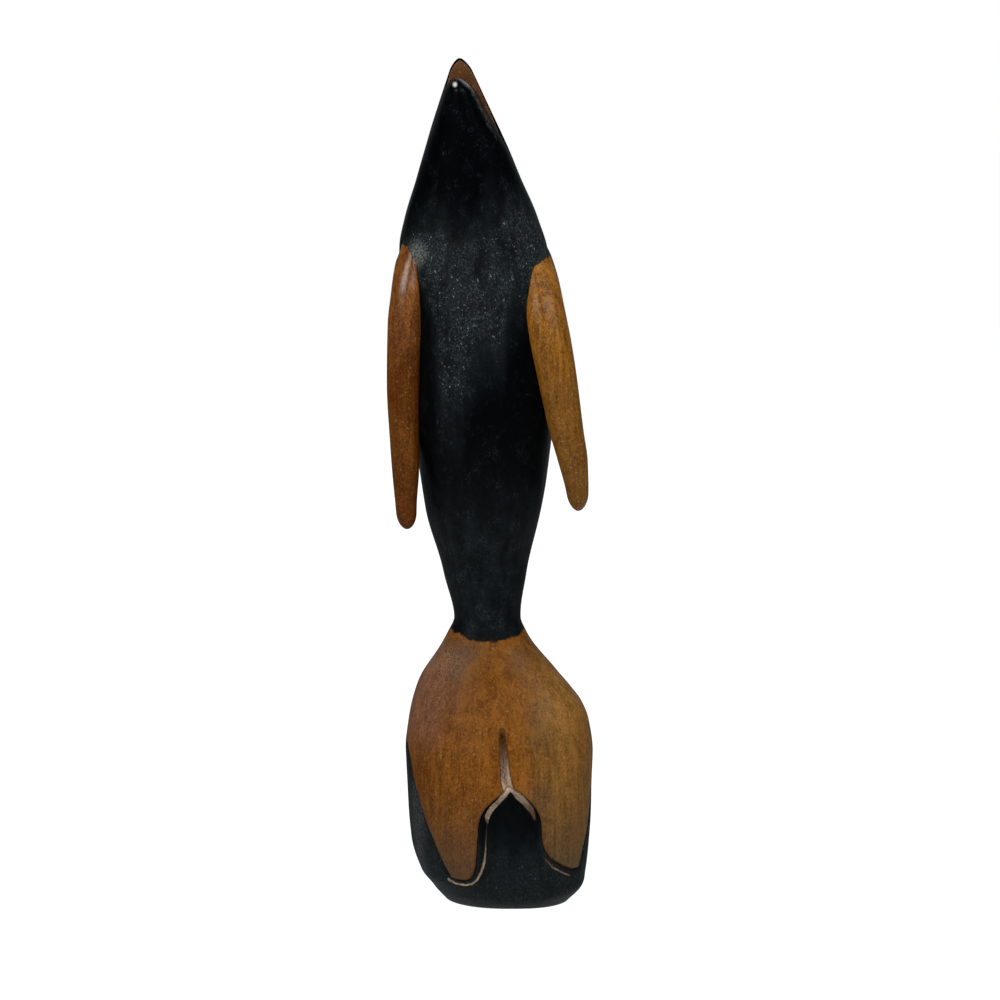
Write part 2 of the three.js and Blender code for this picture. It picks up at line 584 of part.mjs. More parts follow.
const jawDowel = dowel(
  new THREE.Vector3(jawDowelX, jawDowelY, seatZ(jawDowelY) - JAW_DOWEL.inBody),
  new THREE.Vector3(jawDowelX, jawDowelY, seatZ(jawDowelY) + JAW_DOWEL.inJaw),
  JAW_DOWEL.diameter,
);

// Every hole is cut in each piece that its dowel enters.
const bodyHoles = [
  tailDowel, jawDowel, ...rightFlipper.dowels, ...leftFlipper.dowels, ...finDowels, rightEye, leftEye,
];
for (const { hole } of bodyHoles) body = body.subtract(hole);
for (const { hole } of [tailDowel, flukeDowelRight, flukeDowelLeft]) {
  base = base.subtract(hole);
  tailFlukes = tailFlukes.subtract(hole);
}
lowerJaw = lowerJaw.subtract(jawDowel.hole);
for (const side of [rightFlipper, leftFlipper])
  for (const { hole } of side.dowels) side.blade = side.blade.subtract(hole);
for (const { hole } of finDowels) dorsalFin = dorsalFin.subtract(hole);

const dolphin = new THREE.Group();
dolphin.name = "standing_dolphin";
const stand = new THREE.Group();
stand.name = "stand";
stand.add(
  meshOf("base", base, LACQUER),
  meshOf("tail_flukes", tailFlukes, WOOD),
  meshOf("fluke_dowel_right", flukeDowelRight.peg, DOWEL_WOOD),
  meshOf("fluke_dowel_left", flukeDowelLeft.peg, DOWEL_WOOD),
  meshOf("tail_dowel", tailDowel.peg, DOWEL_WOOD),
);
const figure = new THREE.Group();
figure.name = "figure";
figure.add(
  meshOf("body", body, LACQUER),
  meshOf("lower_jaw", lowerJaw, LACQUER),
  meshOf("mouth_lining", mouthLining, WOOD),
  meshOf("jaw_dowel", jawDowel.peg, DOWEL_WOOD),
  meshOf("right_eye", rightEye.peg, WOOD),
  meshOf("left_eye", leftEye.peg, WOOD),
  meshOf("right_flipper", rightFlipper.blade, WOOD),
  meshOf("left_flipper", leftFlipper.blade, WOOD),
  meshOf("flipper_dowel_right_upper", rightFlipper.dowels[0].peg, DOWEL_WOOD),
  meshOf("flipper_dowel_right_lower", rightFlipper.dowels[1].peg, DOWEL_WOOD),
  meshOf("flipper_dowel_left_upper", leftFlipper.dowels[0].peg, DOWEL_WOOD),
  meshOf("flipper_dowel_left_lower", leftFlipper.dowels[1].peg, DOWEL_WOOD),
  meshOf("dorsal_fin", dorsalFin, WOOD),
  meshOf("dorsal_dowel_upper", finDowels[0].peg, DOWEL_WOOD),
  meshOf("dorsal_dowel_lower", finDowels[1].peg, DOWEL_WOOD),
);
dolphin.add(stand, figure);

export default dolphin;
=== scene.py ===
# %% [markdown]
# # A carved dolphin that stands on its tail
#
# The real figure is cut from wood with a knife. Its head, trunk and base are painted satin black, and
# its flippers, tail flukes and the inside of its mouth are left brown under a clear finish. The solids
# from the part's source give each piece its place and size. This lesson makes a finer surface for each
# one and then paints it.
#
# All shapes are worked out in millimetres, with the belly towards -Y and the beak up, and turned into
# metres at the end.

# %% Load the frame
import bpy
import numpy as np
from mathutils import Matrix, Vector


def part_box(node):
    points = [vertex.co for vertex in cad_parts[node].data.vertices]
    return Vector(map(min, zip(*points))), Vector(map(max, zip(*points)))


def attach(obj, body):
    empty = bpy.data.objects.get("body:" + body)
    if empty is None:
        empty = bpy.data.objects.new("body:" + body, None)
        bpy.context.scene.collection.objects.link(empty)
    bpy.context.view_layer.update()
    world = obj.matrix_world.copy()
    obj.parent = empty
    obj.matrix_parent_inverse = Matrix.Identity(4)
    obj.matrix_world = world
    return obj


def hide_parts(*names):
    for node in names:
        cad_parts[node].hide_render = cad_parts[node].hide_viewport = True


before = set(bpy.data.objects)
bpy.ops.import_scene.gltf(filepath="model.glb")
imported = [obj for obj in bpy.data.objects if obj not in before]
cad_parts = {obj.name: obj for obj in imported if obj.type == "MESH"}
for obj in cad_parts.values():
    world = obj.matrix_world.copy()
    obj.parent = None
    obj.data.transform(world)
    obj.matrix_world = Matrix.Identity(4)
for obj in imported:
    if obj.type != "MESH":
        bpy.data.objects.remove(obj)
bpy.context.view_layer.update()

# %% [markdown]
# ## Curves through a few sizes
#
# A carver knows a few widths along the figure and lets the knife run smoothly between them. A curve that
# never overshoots its points does the same. A plain cubic spline could bulge between two equal widths,
# so each slope here is the harmonic mean of its neighbours, or level where they disagree.


# %% A curve that never overshoots
def curve(knots, values, at):
    """Cubic pieces through the knots. The slope at a knot is twice the product of the two neighbouring
    slopes over their sum, or 0 where they change sign. Past the ends the value stays the same."""
    knots, values = np.asarray(knots, float), np.asarray(values, float)
    rise = np.diff(values) / np.diff(knots)
    agree = rise[:-1] * rise[1:] > 0
    mean = 2 * rise[:-1] * rise[1:] / np.where(agree, rise[:-1] + rise[1:], 1)
    slope = np.concatenate([rise[:1], np.where(agree, mean, 0), rise[-1:]])
    at = np.clip(at, knots[0], knots[-1])
    i = np.clip(np.searchsorted(knots, at, side="right") - 1, 0, len(rise) - 1)
    step = knots[i + 1] - knots[i]
    t = (at - knots[i]) / step
    return ((1 + 2 * t) * (1 - t) ** 2 * values[i] + t * (1 - t) ** 2 * step * slope[i]
            + t * t * (3 - 2 * t) * values[i + 1] + t * t * (t - 1) * step * slope[i + 1])


def ease(low, high, at):
    """0 at low and 1 at high, with level ends: 3t^2 - 2t^3 of the share t between them."""
    t = np.clip((at - low) / (high - low), 0, 1)
    return t * t * (3 - 2 * t)


print("halfway between 0 and 10 the curve gives", curve([0, 1, 2], [0, 10, 12], 0.5))

# %% [markdown]
# ## The figure's skin
#
# Base, tail stock, trunk and head flow into each other, so one skin serves them all: at each height the
# outline is a rounded oval with its own width, belly depth and back depth. Sculpting would give the same
# form, but then the jaw, the body and the base would not meet exactly. A formula of angle and height
# makes them meet by itself.

# %% Ovals from the foot to the tip of the beak
STATIONS = np.array([
    # height, width, belly, back, sway to the side, lean to the front
    [0.0, 37.5, 18.5, 17.0, 2.4, 0.0],  # foot
    [4.0, 44.4, 22.4, 21.0, 2.6, 0.0],
    [8.6, 49.0, 23.7, 22.4, 1.3, 0.0],  # heel of the base
    [18.0, 53.0, 24.2, 23.2, 0.3, 0.0],
    [44.2, 56.0, 21.4, 20.5, 0.0, 0.0],  # widest part of the flukes
    [53.0, 53.8, 19.1, 18.7, -0.2, 0.0],
    [58.5, 50.8, 17.3, 17.0, -0.8, 0.0],
    [64.0, 45.4, 15.3, 15.6, -2.0, 0.0],
    [68.0, 40.3, 14.0, 14.8, -2.8, 0.0],
    [80.0, 23.4, 10.6, 12.4, -3.5, 0.0],  # joint between base and body
    [84.8, 19.5, 10.0, 12.0, -3.4, 0.0],  # thinnest part of the tail
    [98.0, 24.6, 12.0, 12.8, -4.0, 0.0],
    [117.4, 34.2, 16.6, 15.6, -4.7, 0.0],  # loin
    [150.0, 42.3, 22.4, 20.0, -4.8, 0.0],  # belly
    [175.0, 41.6, 20.8, 21.8, -6.2, 0.0],  # chest
    [188.0, 44.2, 17.9, 21.2, -7.2, 0.0],  # shoulders
    [195.0, 43.4, 16.4, 20.4, -7.6, 0.0],  # neck
    [203.0, 39.6, 15.4, 19.4, -8.2, 0.4],
    [215.0, 31.0, 14.6, 16.4, -8.9, 1.2],  # melon
    [226.0, 22.5, 13.6, 10.4, -9.7, 2.2],  # root of the beak
    [240.0, 11.9, 11.9, 5.8, -10.6, 3.7],
    [250.0, 4.1, 7.4, 3.4, -11.5, 4.6],  # tip of the beak
])


def oval(z):
    """Half width, belly depth, back depth, sway and lean at each height."""
    width, belly, back, sway, lean = (curve(STATIONS[:, 0], STATIONS[:, i], z) for i in range(1, 6))
    return width / 2, belly, back, sway, lean


def squareness(angle, z):
    """Power of the oval: 2 is an ellipse. The base is squarer, except at its cut front right corner."""
    cut_corner = (np.cos(angle) > 0) & (np.sin(angle) < 0)
    base = np.where(cut_corner, 2.1, 2.6)
    return base + (2.2 - base) * ease(58, 84, z)


def skin(angle, z, factor=1.0):
    """A ray at each angle meets the oval |x/half|^p + |y/depth|^p = 1 at the distance
    (|sin|^p + |cos|^p)^(-1/p). Angle 0 is the belly, at -Y, and a quarter turn is +X."""
    half, belly, back, sway, lean = oval(z)
    power = squareness(angle, z)
    across, along = np.sin(angle), -np.cos(angle)
    reach = factor * (np.abs(across) ** power + np.abs(along) ** power) ** (-1 / power)
    x = sway + half * reach * across
    y = -lean + np.where(along < 0, belly, back) * reach * along
    return x, y


print("skin at the chest, front and left:", skin(np.array([0, np.pi / 2]), np.array([175.0, 175.0])))

# %% [markdown]
# ## Knife marks and the crease
#
# No hand-cut surface is even. Waves of about a finger's width stand for the carver's long cuts, and a
# crease sets the throat back from the chest. A displacement texture could do this after the mesh is
# made, but as part of the formula the same unevenness runs on from the body to the lower jaw without a
# step.


# %% Unevenness of the carving
def unevenness(x, y, z, size, seed):
    """Sum of twelve plane waves over 4, each about size millimetres long and in a direction of its own.
    Most of it lies between -1 and 1."""
    rng = np.random.default_rng(seed)
    heading = rng.normal(size=(12, 3))
    heading /= np.linalg.norm(heading, axis=1, keepdims=True)
    turns = 2 * np.pi / (size * rng.uniform(0.7, 1.4, 12))
    x, y, z = np.broadcast_arrays(x, y, z)
    phase = np.stack([x, y, z], -1) @ (heading * turns[:, None]).T + rng.uniform(0, 2 * np.pi, 12)
    return np.cos(phase).sum(-1) / 4


def knife(x, y, z):
    """How far the knife left wood standing: 0.2 mm of long waves and 0.06 mm of short upright ones."""
    return 0.2 * unevenness(x, y, z, 26, 3) + 0.06 * unevenness(x, y, z * 0.5, 8, 4)


def carved_skin(angle, z, factor=1.0):
    """The skin moved in or out by the knife, and the crease at the neck, which sets the throat back by
    up to 0.4 mm just above it and fades upwards and towards the figure's left."""
    x, y = skin(angle, z, factor)
    above = z - (194.2 + 0.06 * (x + 15))
    setback = ease(0, 3.0, above) * np.exp(-np.maximum(above, 0) / 12) * ease(-2, -14, x)
    out = knife(x, y, z) - 0.4 * setback * np.clip(np.cos(angle), 0, 1)
    return x + out * factor * np.sin(angle), y - out * factor * np.cos(angle)


print("depth of the crease:", np.round(np.diff(carved_skin(-0.5, np.array([193.0, 196.0]))[1]), 2), "mm")

# %% [markdown]
# ## From a grid of points to a piece
#
# Most pieces are a grid of points that closes round a ring, with a point at each end. Blender could loft
# rings with its own tools, but a whole array goes into a mesh in one step, and the sign of the volume
# shows whether the faces point outwards.

# %% A closed tube of rings
MM = 0.001
SHARP_ANGLE = np.radians(42)


def piece(name, points, faces, node, slot_name, **values):
    """A mesh object from points in millimetres, with its float values per point, riding on the figure.
    Faces are turned round if the volume under them, the sum of a . (b x c) over six, is negative."""
    corners = [np.asarray(f) for f in faces]
    triangles = np.concatenate([f[:, [0, k, k + 1]] for f in corners for k in range(1, f.shape[1] - 1)])
    a, b, c = (points[triangles[:, k]] for k in range(3))
    volume = np.einsum("ij,ij->", a, np.cross(b, c)) / 6
    if volume < 0:
        corners = [f[:, ::-1] for f in corners]
    mesh = bpy.data.meshes.new(name)
    mesh.from_pydata(points * MM, [], [row for f in corners for row in f.tolist()])
    mesh.shade_smooth()
    mesh.set_sharp_from_angle(angle=SHARP_ANGLE)
    for key, value in values.items():
        attribute = mesh.attributes.new(key, "FLOAT", "POINT")
        attribute.data.foreach_set("value", np.ascontiguousarray(value, np.float32))
    made = bpy.data.objects.new(name, mesh)
    bpy.context.scene.collection.objects.link(made)
    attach(made, "root")
    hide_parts(node)
    print(name, len(triangles), "triangles,", round(abs(volume) / 1000, 2), "cubic centimetres")
    return made


def tube(name, rings, node, slot_name, **values):
    """Quads between neighbouring rings, and a fan from the middle of the first and of the last ring."""
    rows, count, _ = rings.shape
    here = np.arange(count)
    following = np.roll(here, -1)
    start = np.arange(rows - 1)[:, None] * count
    quads = np.stack([start + here, start + following, start + count + following, start + count + here], -1)
    low, high, last = rows * count, rows * count + 1, (rows - 1) * count
    fans = np.concatenate([np.stack([here * 0 + low, following, here], -1),
                           np.stack([here * 0 + high, last + here, last + following], -1)])
    points = np.concatenate([rings.reshape(-1, 3), [rings[0].mean(0), rings[-1].mean(0)]])
    values = {k: np.append(v.reshape(-1), [v[0].mean(), v[-1].mean()]) for k, v in values.items()}
    return piece(name, points, [quads.reshape(-1, 4), fans], node, slot_name, **values)


def full_turn(count):
    """Angles all the way round a ring."""
    return np.linspace(0, 2 * np.pi, count, endpoint=False)


def rounded_end(tip, reach, z):
    """Factor that draws an oval in to nothing over the last stretch: the root of 1 - (1 - u)^2. With a
    negative reach the tip is the lower end."""
    u = np.clip((tip - z) / reach, 0, 1)
    return np.sqrt(1 - (1 - u) ** 2)


print("0.5 mm below the tip an oval keeps", np.round(rounded_end(250, 3, 249.5), 2), "of its width")

# %% [markdown]
# ## Dust and painted light on the body
#
# The paint of the chest is dull and dusty, and it is brightened with painted light where it faces the
# lamps, while the throat and the belly stay dark. The dust and the painted light end in ragged lines that no
# noise would put in the right place, so each point of the body carries its own share of them, worked out
# from where it lies. The paint then breaks it up into specks.


# %% Where the paint is dusty and painted light
def chest_dust(x, y, z):
    """Share of dustiness and painted light: about 1 on the chest, between a line that rises to the figure's
    left and a ragged one above the belly, where it stands for the chest's painted light; less in the
    painted shade of the flipper on the figure's right, more in a painted highlight beside that flipper's
    root, and some on the back and, as painted light from the ground, on the loin and the tail."""
    upper = curve([-20, -10, 2, 12], [203, 202, 209, 212], x) + 2.5 * unevenness(x, y, z * 0.3, 7, 11)
    lower = curve([-20, -16, -12, -7, -2, 1, 3.5, 8], [153, 141, 139, 160, 160, 162, 172, 178], x)
    lower = lower + 3 * unevenness(x, y, z * 0.3, 9, 12)
    # On the chest the share is dust, and painted light where the chest faces the lamps.
    dull = ease(upper + 11, upper - 9, z) * ease(lower - 14, lower + 14, z) * ease(2, -4, y)
    dull *= 0.9 + 0.45 * ease(3, 9, x)
    # Painted shade: the share drops beside the flipper on the figure's right, where its shadow falls.
    shade = curve([137, 165, 180, 187], [-18.5, -18.8, -21.5, -26], z)
    dull *= 0.12 + 0.88 * ease(shade - 1.5, shade + 2, x)
    # Painted highlight: a pale spot beside the root of the flipper on the figure's right.
    rub = np.exp(-((x + 24.6) / 4.2) ** 2 - ((z - 193.4) / 4.4) ** 2) * (y < 0)
    # Painted light from the ground on the loin and the tail, and some share on the back.
    return 0.02 + dull + 2.3 * rub + 0.7 * np.maximum(ease(132, 108, z), ease(0, 9, y))


dust_there = chest_dust(np.array([-5.0, -8.0]), -17.0, np.array([185.0, 230.0]))
print("dust on the chest and the throat:", np.round(dust_there, 2))

# %% [markdown]
# ## Body with the upper jaw
#
# The mouth is cut flat across the head, and the lower jaw stands in front of that cut. Cutting with a
# boolean would leave ragged edges, so the grid's own lines follow the lip: the front columns lie on the
# skin up to the seat of the jaw and on the flat of the mouth above it.

# %% The cut of the mouth
CORNER_Z, BEAK_Z, BEAK_ROUND, JAW_SEAT_SLOPE = 219.0, 250.0, 3.7, 0.37


def mouth_flat(z):
    """Depth of the flat inside the mouth, straight from the corner to the tip."""
    return -3.8 - 1.2 * (z - CORNER_Z) / (BEAK_Z - CORNER_Z)


def lip_angle(z, depth, factor=1.0):
    """Angle round the head at which the skin crosses that depth: the oval's formula turned round."""
    _, belly, back, _, lean = oval(z)
    power = squareness(np.pi / 4, z)
    ahead = depth + lean
    along = np.clip(np.abs(ahead) / (factor * np.where(ahead < 0, belly, back)), 0, 1)
    angle = np.arctan2((1 - along ** power) ** (1 / power), along)
    return np.where(ahead < 0, angle, np.pi - angle)


def seat_height(angle):
    """Height at which the jaw's seat leaves the skin. It falls by the seat's slope towards the front."""
    depth = skin(angle, np.full_like(angle, CORNER_Z - 2))[1]
    return CORNER_Z - 0.6 - JAW_SEAT_SLOPE * np.maximum(0, mouth_flat(CORNER_Z) - depth)


corner = float(lip_angle(CORNER_Z, mouth_flat(CORNER_Z)))
print("the corner of the mouth lies", round(np.degrees(corner)), "degrees round from the throat")

# %% Body
JOINT_Z = 81.5

front_turn = np.linspace(-corner, corner, 150, endpoint=False)
back_turn = np.linspace(corner, 2 * np.pi - corner, 130, endpoint=False)
turn = np.concatenate([front_turn, back_turn])[None, :]
share = np.linspace(0, 1, 230)[:, None]
trunk_z = JOINT_Z + share * (seat_height(turn) - JOINT_Z)
trunk = np.stack([*carved_skin(turn, trunk_z), trunk_z], -1)

beak_z = CORNER_Z + (BEAK_Z - CORNER_Z) * np.sin(np.linspace(0, 0.485, 80) * np.pi)[:, None]
beak_in = rounded_end(BEAK_Z, BEAK_ROUND, beak_z)
lip = lip_angle(beak_z, mouth_flat(beak_z), beak_in)
left_x, right_x = carved_skin(-lip, beak_z, beak_in)[0], carved_skin(lip, beak_z, beak_in)[0]
flat_x = (left_x + right_x) / 2 + (right_x - left_x) / 2 * np.sin(front_turn) / np.sin(corner)
flat = np.stack([flat_x, mouth_flat(beak_z) + 0 * flat_x, beak_z + 0 * flat_x], -1)
round_turn = lip + (back_turn - corner) / (np.pi - corner) * (np.pi - lip)
round_z = beak_z + 0 * round_turn
crown = np.stack([*carved_skin(round_turn, round_z, beak_in), round_z], -1)
beak = np.concatenate([flat, crown], 1)

step = np.array([0.35, 0.7])[:, None, None]
seat = trunk[-1] * (1 - step) + beak[0] * step
rings = np.concatenate([trunk, seat, beak])
body = tube("body_carved", rings, "body", "black_paint", dust=chest_dust(*np.moveaxis(rings, -1, 0)))

# %% [markdown]
# ## Lower jaw
#
# The lower jaw is shorter than the beak and has a blunt, rounded tip. Its front is the same skin as the
# body's, so no line shows where it is let in, and its back is a flat in front of the brown lining. It is
# a little narrower on the figure's left, where the photograph shows the lining beside it. There its edge
# is worn, and at its tip a pale spot stands for a chip of paint with a painted highlight on it. Both are
# kept as values of its points, for the finish.

# %% Front and back of the lower jaw
JAW_Z, JAW_ROUND, JAW_TRIM = 244.4, 4.2, 1.8


def jaw_back(z):
    """Depth of the jaw's back: 1.3 mm in front of the flat at the corner of the mouth, 1.9 mm at the
    tip."""
    return mouth_flat(np.maximum(z, CORNER_Z)) - 1.3 - 0.6 * ease(CORNER_Z, JAW_Z, z)


side = np.linspace(-1, 1, 130)[None, :]
jaw_share = (1 - np.cos(np.linspace(0, 0.97, 90) * np.pi))[:, None] / 2
jaw_start = lip_angle(CORNER_Z - 2, jaw_back(CORNER_Z))
jaw_low = seat_height(side * jaw_start)
jaw_z = jaw_low + jaw_share * (JAW_Z - jaw_low)
jaw_x, jaw_y = carved_skin(side * lip_angle(jaw_z, jaw_back(jaw_z)), jaw_z)
back_side = np.linspace(1, -1, 40)[None, 1:-1]
back_z = CORNER_Z - 0.4 + jaw_share * (JAW_Z - CORNER_Z + 0.4) + 0 * back_side
back_x = (jaw_x[:, :1] + jaw_x[:, -1:]) / 2 + back_side * (jaw_x[:, -1:] - jaw_x[:, :1]) / 2
around_jaw = ((jaw_x, back_x), (jaw_y, jaw_back(back_z)), (jaw_z, back_z))
grid_x, grid_y, grid_z = (np.concatenate(front_and_back, 1) for front_and_back in around_jaw)
print("the lower jaw reaches from", round(grid_z.min(), 1), "to", round(grid_z.max(), 1), "mm")


# %% Trim, tip and wear of the lower jaw
def extent(values):
    """Least and greatest value of each ring."""
    return values.min(1, keepdims=True), values.max(1, keepdims=True)


low_x, high_x = extent(grid_x)
narrowed = 1 - JAW_TRIM * ease(CORNER_Z, JAW_Z, grid_z) / (high_x - low_x)
grid_x = low_x + (grid_x - low_x) * narrowed
(low_x, high_x), (low_y, high_y) = extent(grid_x), extent(grid_y)
middle_x, middle_y = (low_x + high_x) / 2, low_y * 0.35 + high_y * 0.65
jaw_in = rounded_end(JAW_Z, JAW_ROUND, grid_z)
grid_x, grid_y = middle_x + (grid_x - middle_x) * jaw_in, middle_y + (grid_y - middle_y) * jaw_in

worn = ease(2.4, 0.3, extent(grid_x)[1] - grid_x) * ease(222, 229, grid_z)
worn = worn * ease(middle_y + 1.5, middle_y - 1.5, grid_y) + 0.8 * ease(1.2, 0.2, JAW_Z - grid_z)
# A pale spot at the tip: a chip of paint and a painted highlight on it.
chipped = np.exp(-((grid_x + 12.8) / 0.75) ** 2 - ((grid_z - 242.4) / 0.85) ** 2) * (grid_y < middle_y)
lower_jaw = tube("lower_jaw_carved", np.stack([grid_x, grid_y, grid_z], -1), "lower_jaw", "black_paint",
                 worn=worn, chipped=chipped, dust=chest_dust(grid_x, grid_y, grid_z))

# %% [markdown]
# ## Lining of the mouth
#
# Between the jaws lies a thin plate of bare brown wood, set in a little from the black rim of the beak.
# A flat face with a colour would do for the photograph, but from the side the plate has an edge, so a
# thin rounded profile is carried up along the flat of the mouth.

# %% Lining
LINING, RIM, LINING_LOW = 1.2, 0.5, 218.0

lining_z = LINING_LOW + (BEAK_Z - RIM - LINING_LOW) * np.sin(np.linspace(0, 0.48, 70) * np.pi)[:, None]
lining_in = rounded_end(BEAK_Z - RIM, BEAK_ROUND, lining_z)
edge = lip_angle(lining_z, mouth_flat(lining_z), np.maximum(lining_in, 0.2))
edge_left, edge_right = (skin(way * edge, lining_z, lining_in)[0] - way * RIM for way in (-1, 1))
around = full_turn(64)[None, :]
lining_x = (edge_left + edge_right) / 2 + np.maximum(edge_right - edge_left, 0.1) / 2 * np.sin(around)
thick = LINING / 2 * np.sign(np.cos(around)) * np.abs(np.cos(around)) ** 0.4
lining_y = mouth_flat(lining_z) + 0.1 - LINING / 2 - thick
mouth_lining = tube("mouth_lining_plate", np.stack([lining_x, lining_y, lining_z + 0 * lining_x], -1),
                    "mouth_lining", "brown_wood")

# %% [markdown]
# ## Flippers
#
# Each flipper is a slim leaf of wood glued to the side of the chest, with a pointed root that the black
# paint runs over and a blunt lower tip. An oval profile is carried along a gently bent line. A flattened
# sphere would be quicker, but it could not follow the leaf's own widths.


# %% The leaf of a flipper
BLUNT = 5.0


def flipper(name, node, edges, paint_line, light_line):
    """An ellipse between the outer and the inner edge at each height, drawn in to a blunt tip. It is
    0.85 times as thick as it is wide, and 0.4 times at the root. The value painted is the height above
    the paint's edge, pale says how light the wood is at that height, from 0 to 1, with its lighter top
    partly a painted highlight, and the share of dustiness and painted light is the body's."""
    marks = np.array(edges, float)
    closer_at_ends = (1 - np.cos(np.linspace(0.012, 0.99, 170) * np.pi)) / 2
    z = marks[0, 0] + np.ptp(marks[:, 0]) * closer_at_ends[:, None]
    outer_x, outer_y, inner_x, inner_y = (curve(marks[:, 0], marks[:, i], z) for i in range(1, 5))
    blunt = rounded_end(marks[0, 0], -BLUNT, z)
    half_x, half_y = (inner_x - outer_x) / 2 * blunt, (outer_y - inner_y) / 2 * blunt
    thick = 0.85 - 0.45 * ease(marks[-1, 0] - 20, marks[-1, 0] - 4, z)
    turn_to = np.sign(half_x[0])
    half_x = turn_to * np.sqrt(np.maximum(half_x ** 2 - (thick * half_y) ** 2, 0.16 * half_x ** 2))
    around = full_turn(80)[None, :]
    x = (outer_x + inner_x) / 2 + half_x * np.sin(around) + turn_to * thick * half_y * np.cos(around)
    y = -(outer_y + inner_y) / 2 + half_y * np.sin(around) - turn_to * thick * half_x * np.cos(around)
    uneven = 0.05 * unevenness(x, y, z * 0.6, 12, 8)
    x, y, z = x + uneven * np.sin(around), y - uneven * np.cos(around), z + 0 * x
    return tube(name, np.stack([x, y, z], -1), node, "brown_wood", painted=z - curve(*paint_line, x),
                pale=curve(*light_line, z), dust=chest_dust(x, y, z))


# height, outer edge's place and depth, inner edge's place and depth, from the tip to the root under the paint
# The light lines make the wood lighter towards the root, partly as a painted highlight.
right_flipper = flipper(
    "right_flipper_leaf", "right_flipper",
    [[112.2, -30.0, 9.0, -24.3, 9.2], [119.6, -30.6, 9.4, -24.2, 10.0], [128.6, -31.4, 9.8, -23.6, 10.6],
     [137.5, -32.0, 10.2, -23.3, 10.8], [155.3, -32.9, 10.2, -23.1, 11.4], [172.8, -32.6, 10.4, -22.6, 13.0],
     [181.4, -31.7, 8.8, -22.8, 13.6], [190.1, -30.5, 5.6, -23.4, 12.4], [195, -28.7, 4.6, -24.0, 10.8],
     [203, -26.4, 5.0, -25.2, 6.8]],
    paint_line=([-32, -29.2, -26.6, -24.2, -22], [198, 196.6, 195, 191, 184]),
    light_line=([112, 128, 138, 150, 157, 164, 170, 176, 183, 192],
                [0, 0.05, 0.22, 0, 0.04, 0.33, 0.68, 0.95, 1, 0.8]))
left_flipper = flipper(
    "left_flipper_leaf", "left_flipper",
    [[117.5, 26.0, 8.0, 20.6, 8.4], [123.8, 26.3, 9.2, 19.6, 10.0], [132.9, 26.0, 11.0, 17.2, 12.4],
     [141.9, 24.7, 12.4, 14.6, 14.0], [159.7, 22.3, 12.8, 10.6, 16.2], [168.6, 20.9, 11.6, 8.7, 16.8],
     [178, 19.0, 8.4, 7.4, 16.2], [185.9, 17.4, 4.0, 8.0, 13.2], [192.2, 15.4, 2.0, 9.2, 9.6],
     [200, 11.4, 4.4, 10.2, 6.2]],
    paint_line=([6, 8.4, 10.5, 14.6, 18], [180, 184.4, 189.8, 192.2, 193.0]),
    light_line=([117.5, 130, 138, 151, 163, 172, 188], [0, 0.12, 0.24, 0.2, 0.6, 0.9, 1]))

# %% [markdown]
# ## Dorsal fin
#
# The back isn't in the photograph. Such a carving has a swept fin there. A flat outline could be
# extruded, but the real fin is thin at its edges, so a lens-shaped profile is carried between its
# leading and its trailing edge.


# %% Dorsal fin
def bend(start, pull, end, share):
    """A curve from start to end that is drawn towards pull: the quadratic curve of three points."""
    start, pull, end = (np.asarray(p, float) for p in (start, pull, end))
    return (1 - share) ** 2 * start + 2 * share * (1 - share) * pull + share ** 2 * end


FIN_Z = 164.0
fin_share = np.linspace(0, 0.995, 90)[:, None]
leading = bend((17.5, 184), (33.5, 173), (35.2, 142.6), fin_share)  # depth and height
trailing = bend((17.0, 144.5), (28.2, 150), (35.2, 142.4), fin_share)
around = full_turn(80)
chord = ((1 - np.cos(around)) / 2)[None, :, None]
fin_yz = leading[:, None, :] * (1 - chord) + trailing[:, None, :] * chord
fin_x = oval(FIN_Z)[3] + curve([0, 0.8, 1], [3.6, 1.9, 0.7], fin_share) * np.sin(around)
fin_rings = np.concatenate([fin_x[..., None], fin_yz], -1)
dorsal_fin = tube("dorsal_fin_carved", fin_rings, "dorsal_fin", "brown_wood")

# %% [markdown]
# ## Eyes
#
# Each eye is a small peg with a domed end in the side of the head, out of the photograph's view. A
# scaled sphere would look the same from the front, but rings round the skin's normal also give the peg
# that goes into the head.


# %% Eyes
def eye(name, node, way):
    """Rings round the skin's normal where the solid's peg comes out: a straight peg, then a dome whose
    radius is the root of 1 - u^2 while its height grows with u."""
    low, high = (np.array(c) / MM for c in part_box(node))
    (_, depth, height), radius = (low + high) / 2, (high - low)[2] / 2
    angle = way * lip_angle(height, depth)
    spot, aside, above = (np.array([*skin(angle + turned, height + raised), height + raised])
                          for turned, raised in ((0, 0), (0.01, 0), (0, 0.1)))
    normal = np.cross(aside - spot, above - spot)
    normal, level = normal / np.linalg.norm(normal), (aside - spot) / np.linalg.norm(aside - spot)
    u = np.linspace(0, 0.98, 24)[:, None, None]
    along = np.concatenate([[[[-2.0]]], 0.9 * u - 0.1])
    spread = radius * np.concatenate([[[[1.0]]], np.sqrt(1 - u ** 2)])
    around = full_turn(40)[None, :, None]
    ring = np.cos(around) * level + np.sin(around) * np.cross(normal, level)
    return tube(name, spot + along * normal + spread * ring, node, "eye_wood")


right_eye = eye("right_eye_peg", "right_eye", -1)
left_eye = eye("left_eye_peg", "left_eye", 1)

# %% [markdown]
# ## Outline of the flukes
#
# The brown flukes are let into the black base, and a knife cut runs round their two lobes. The lower
# edge is a wide W with the notch in its middle. A flat drawing could be projected onto the base, but it
# would stretch at the sides, so the outline is drawn as angle and height on the base's own skin and
# bends round with it.

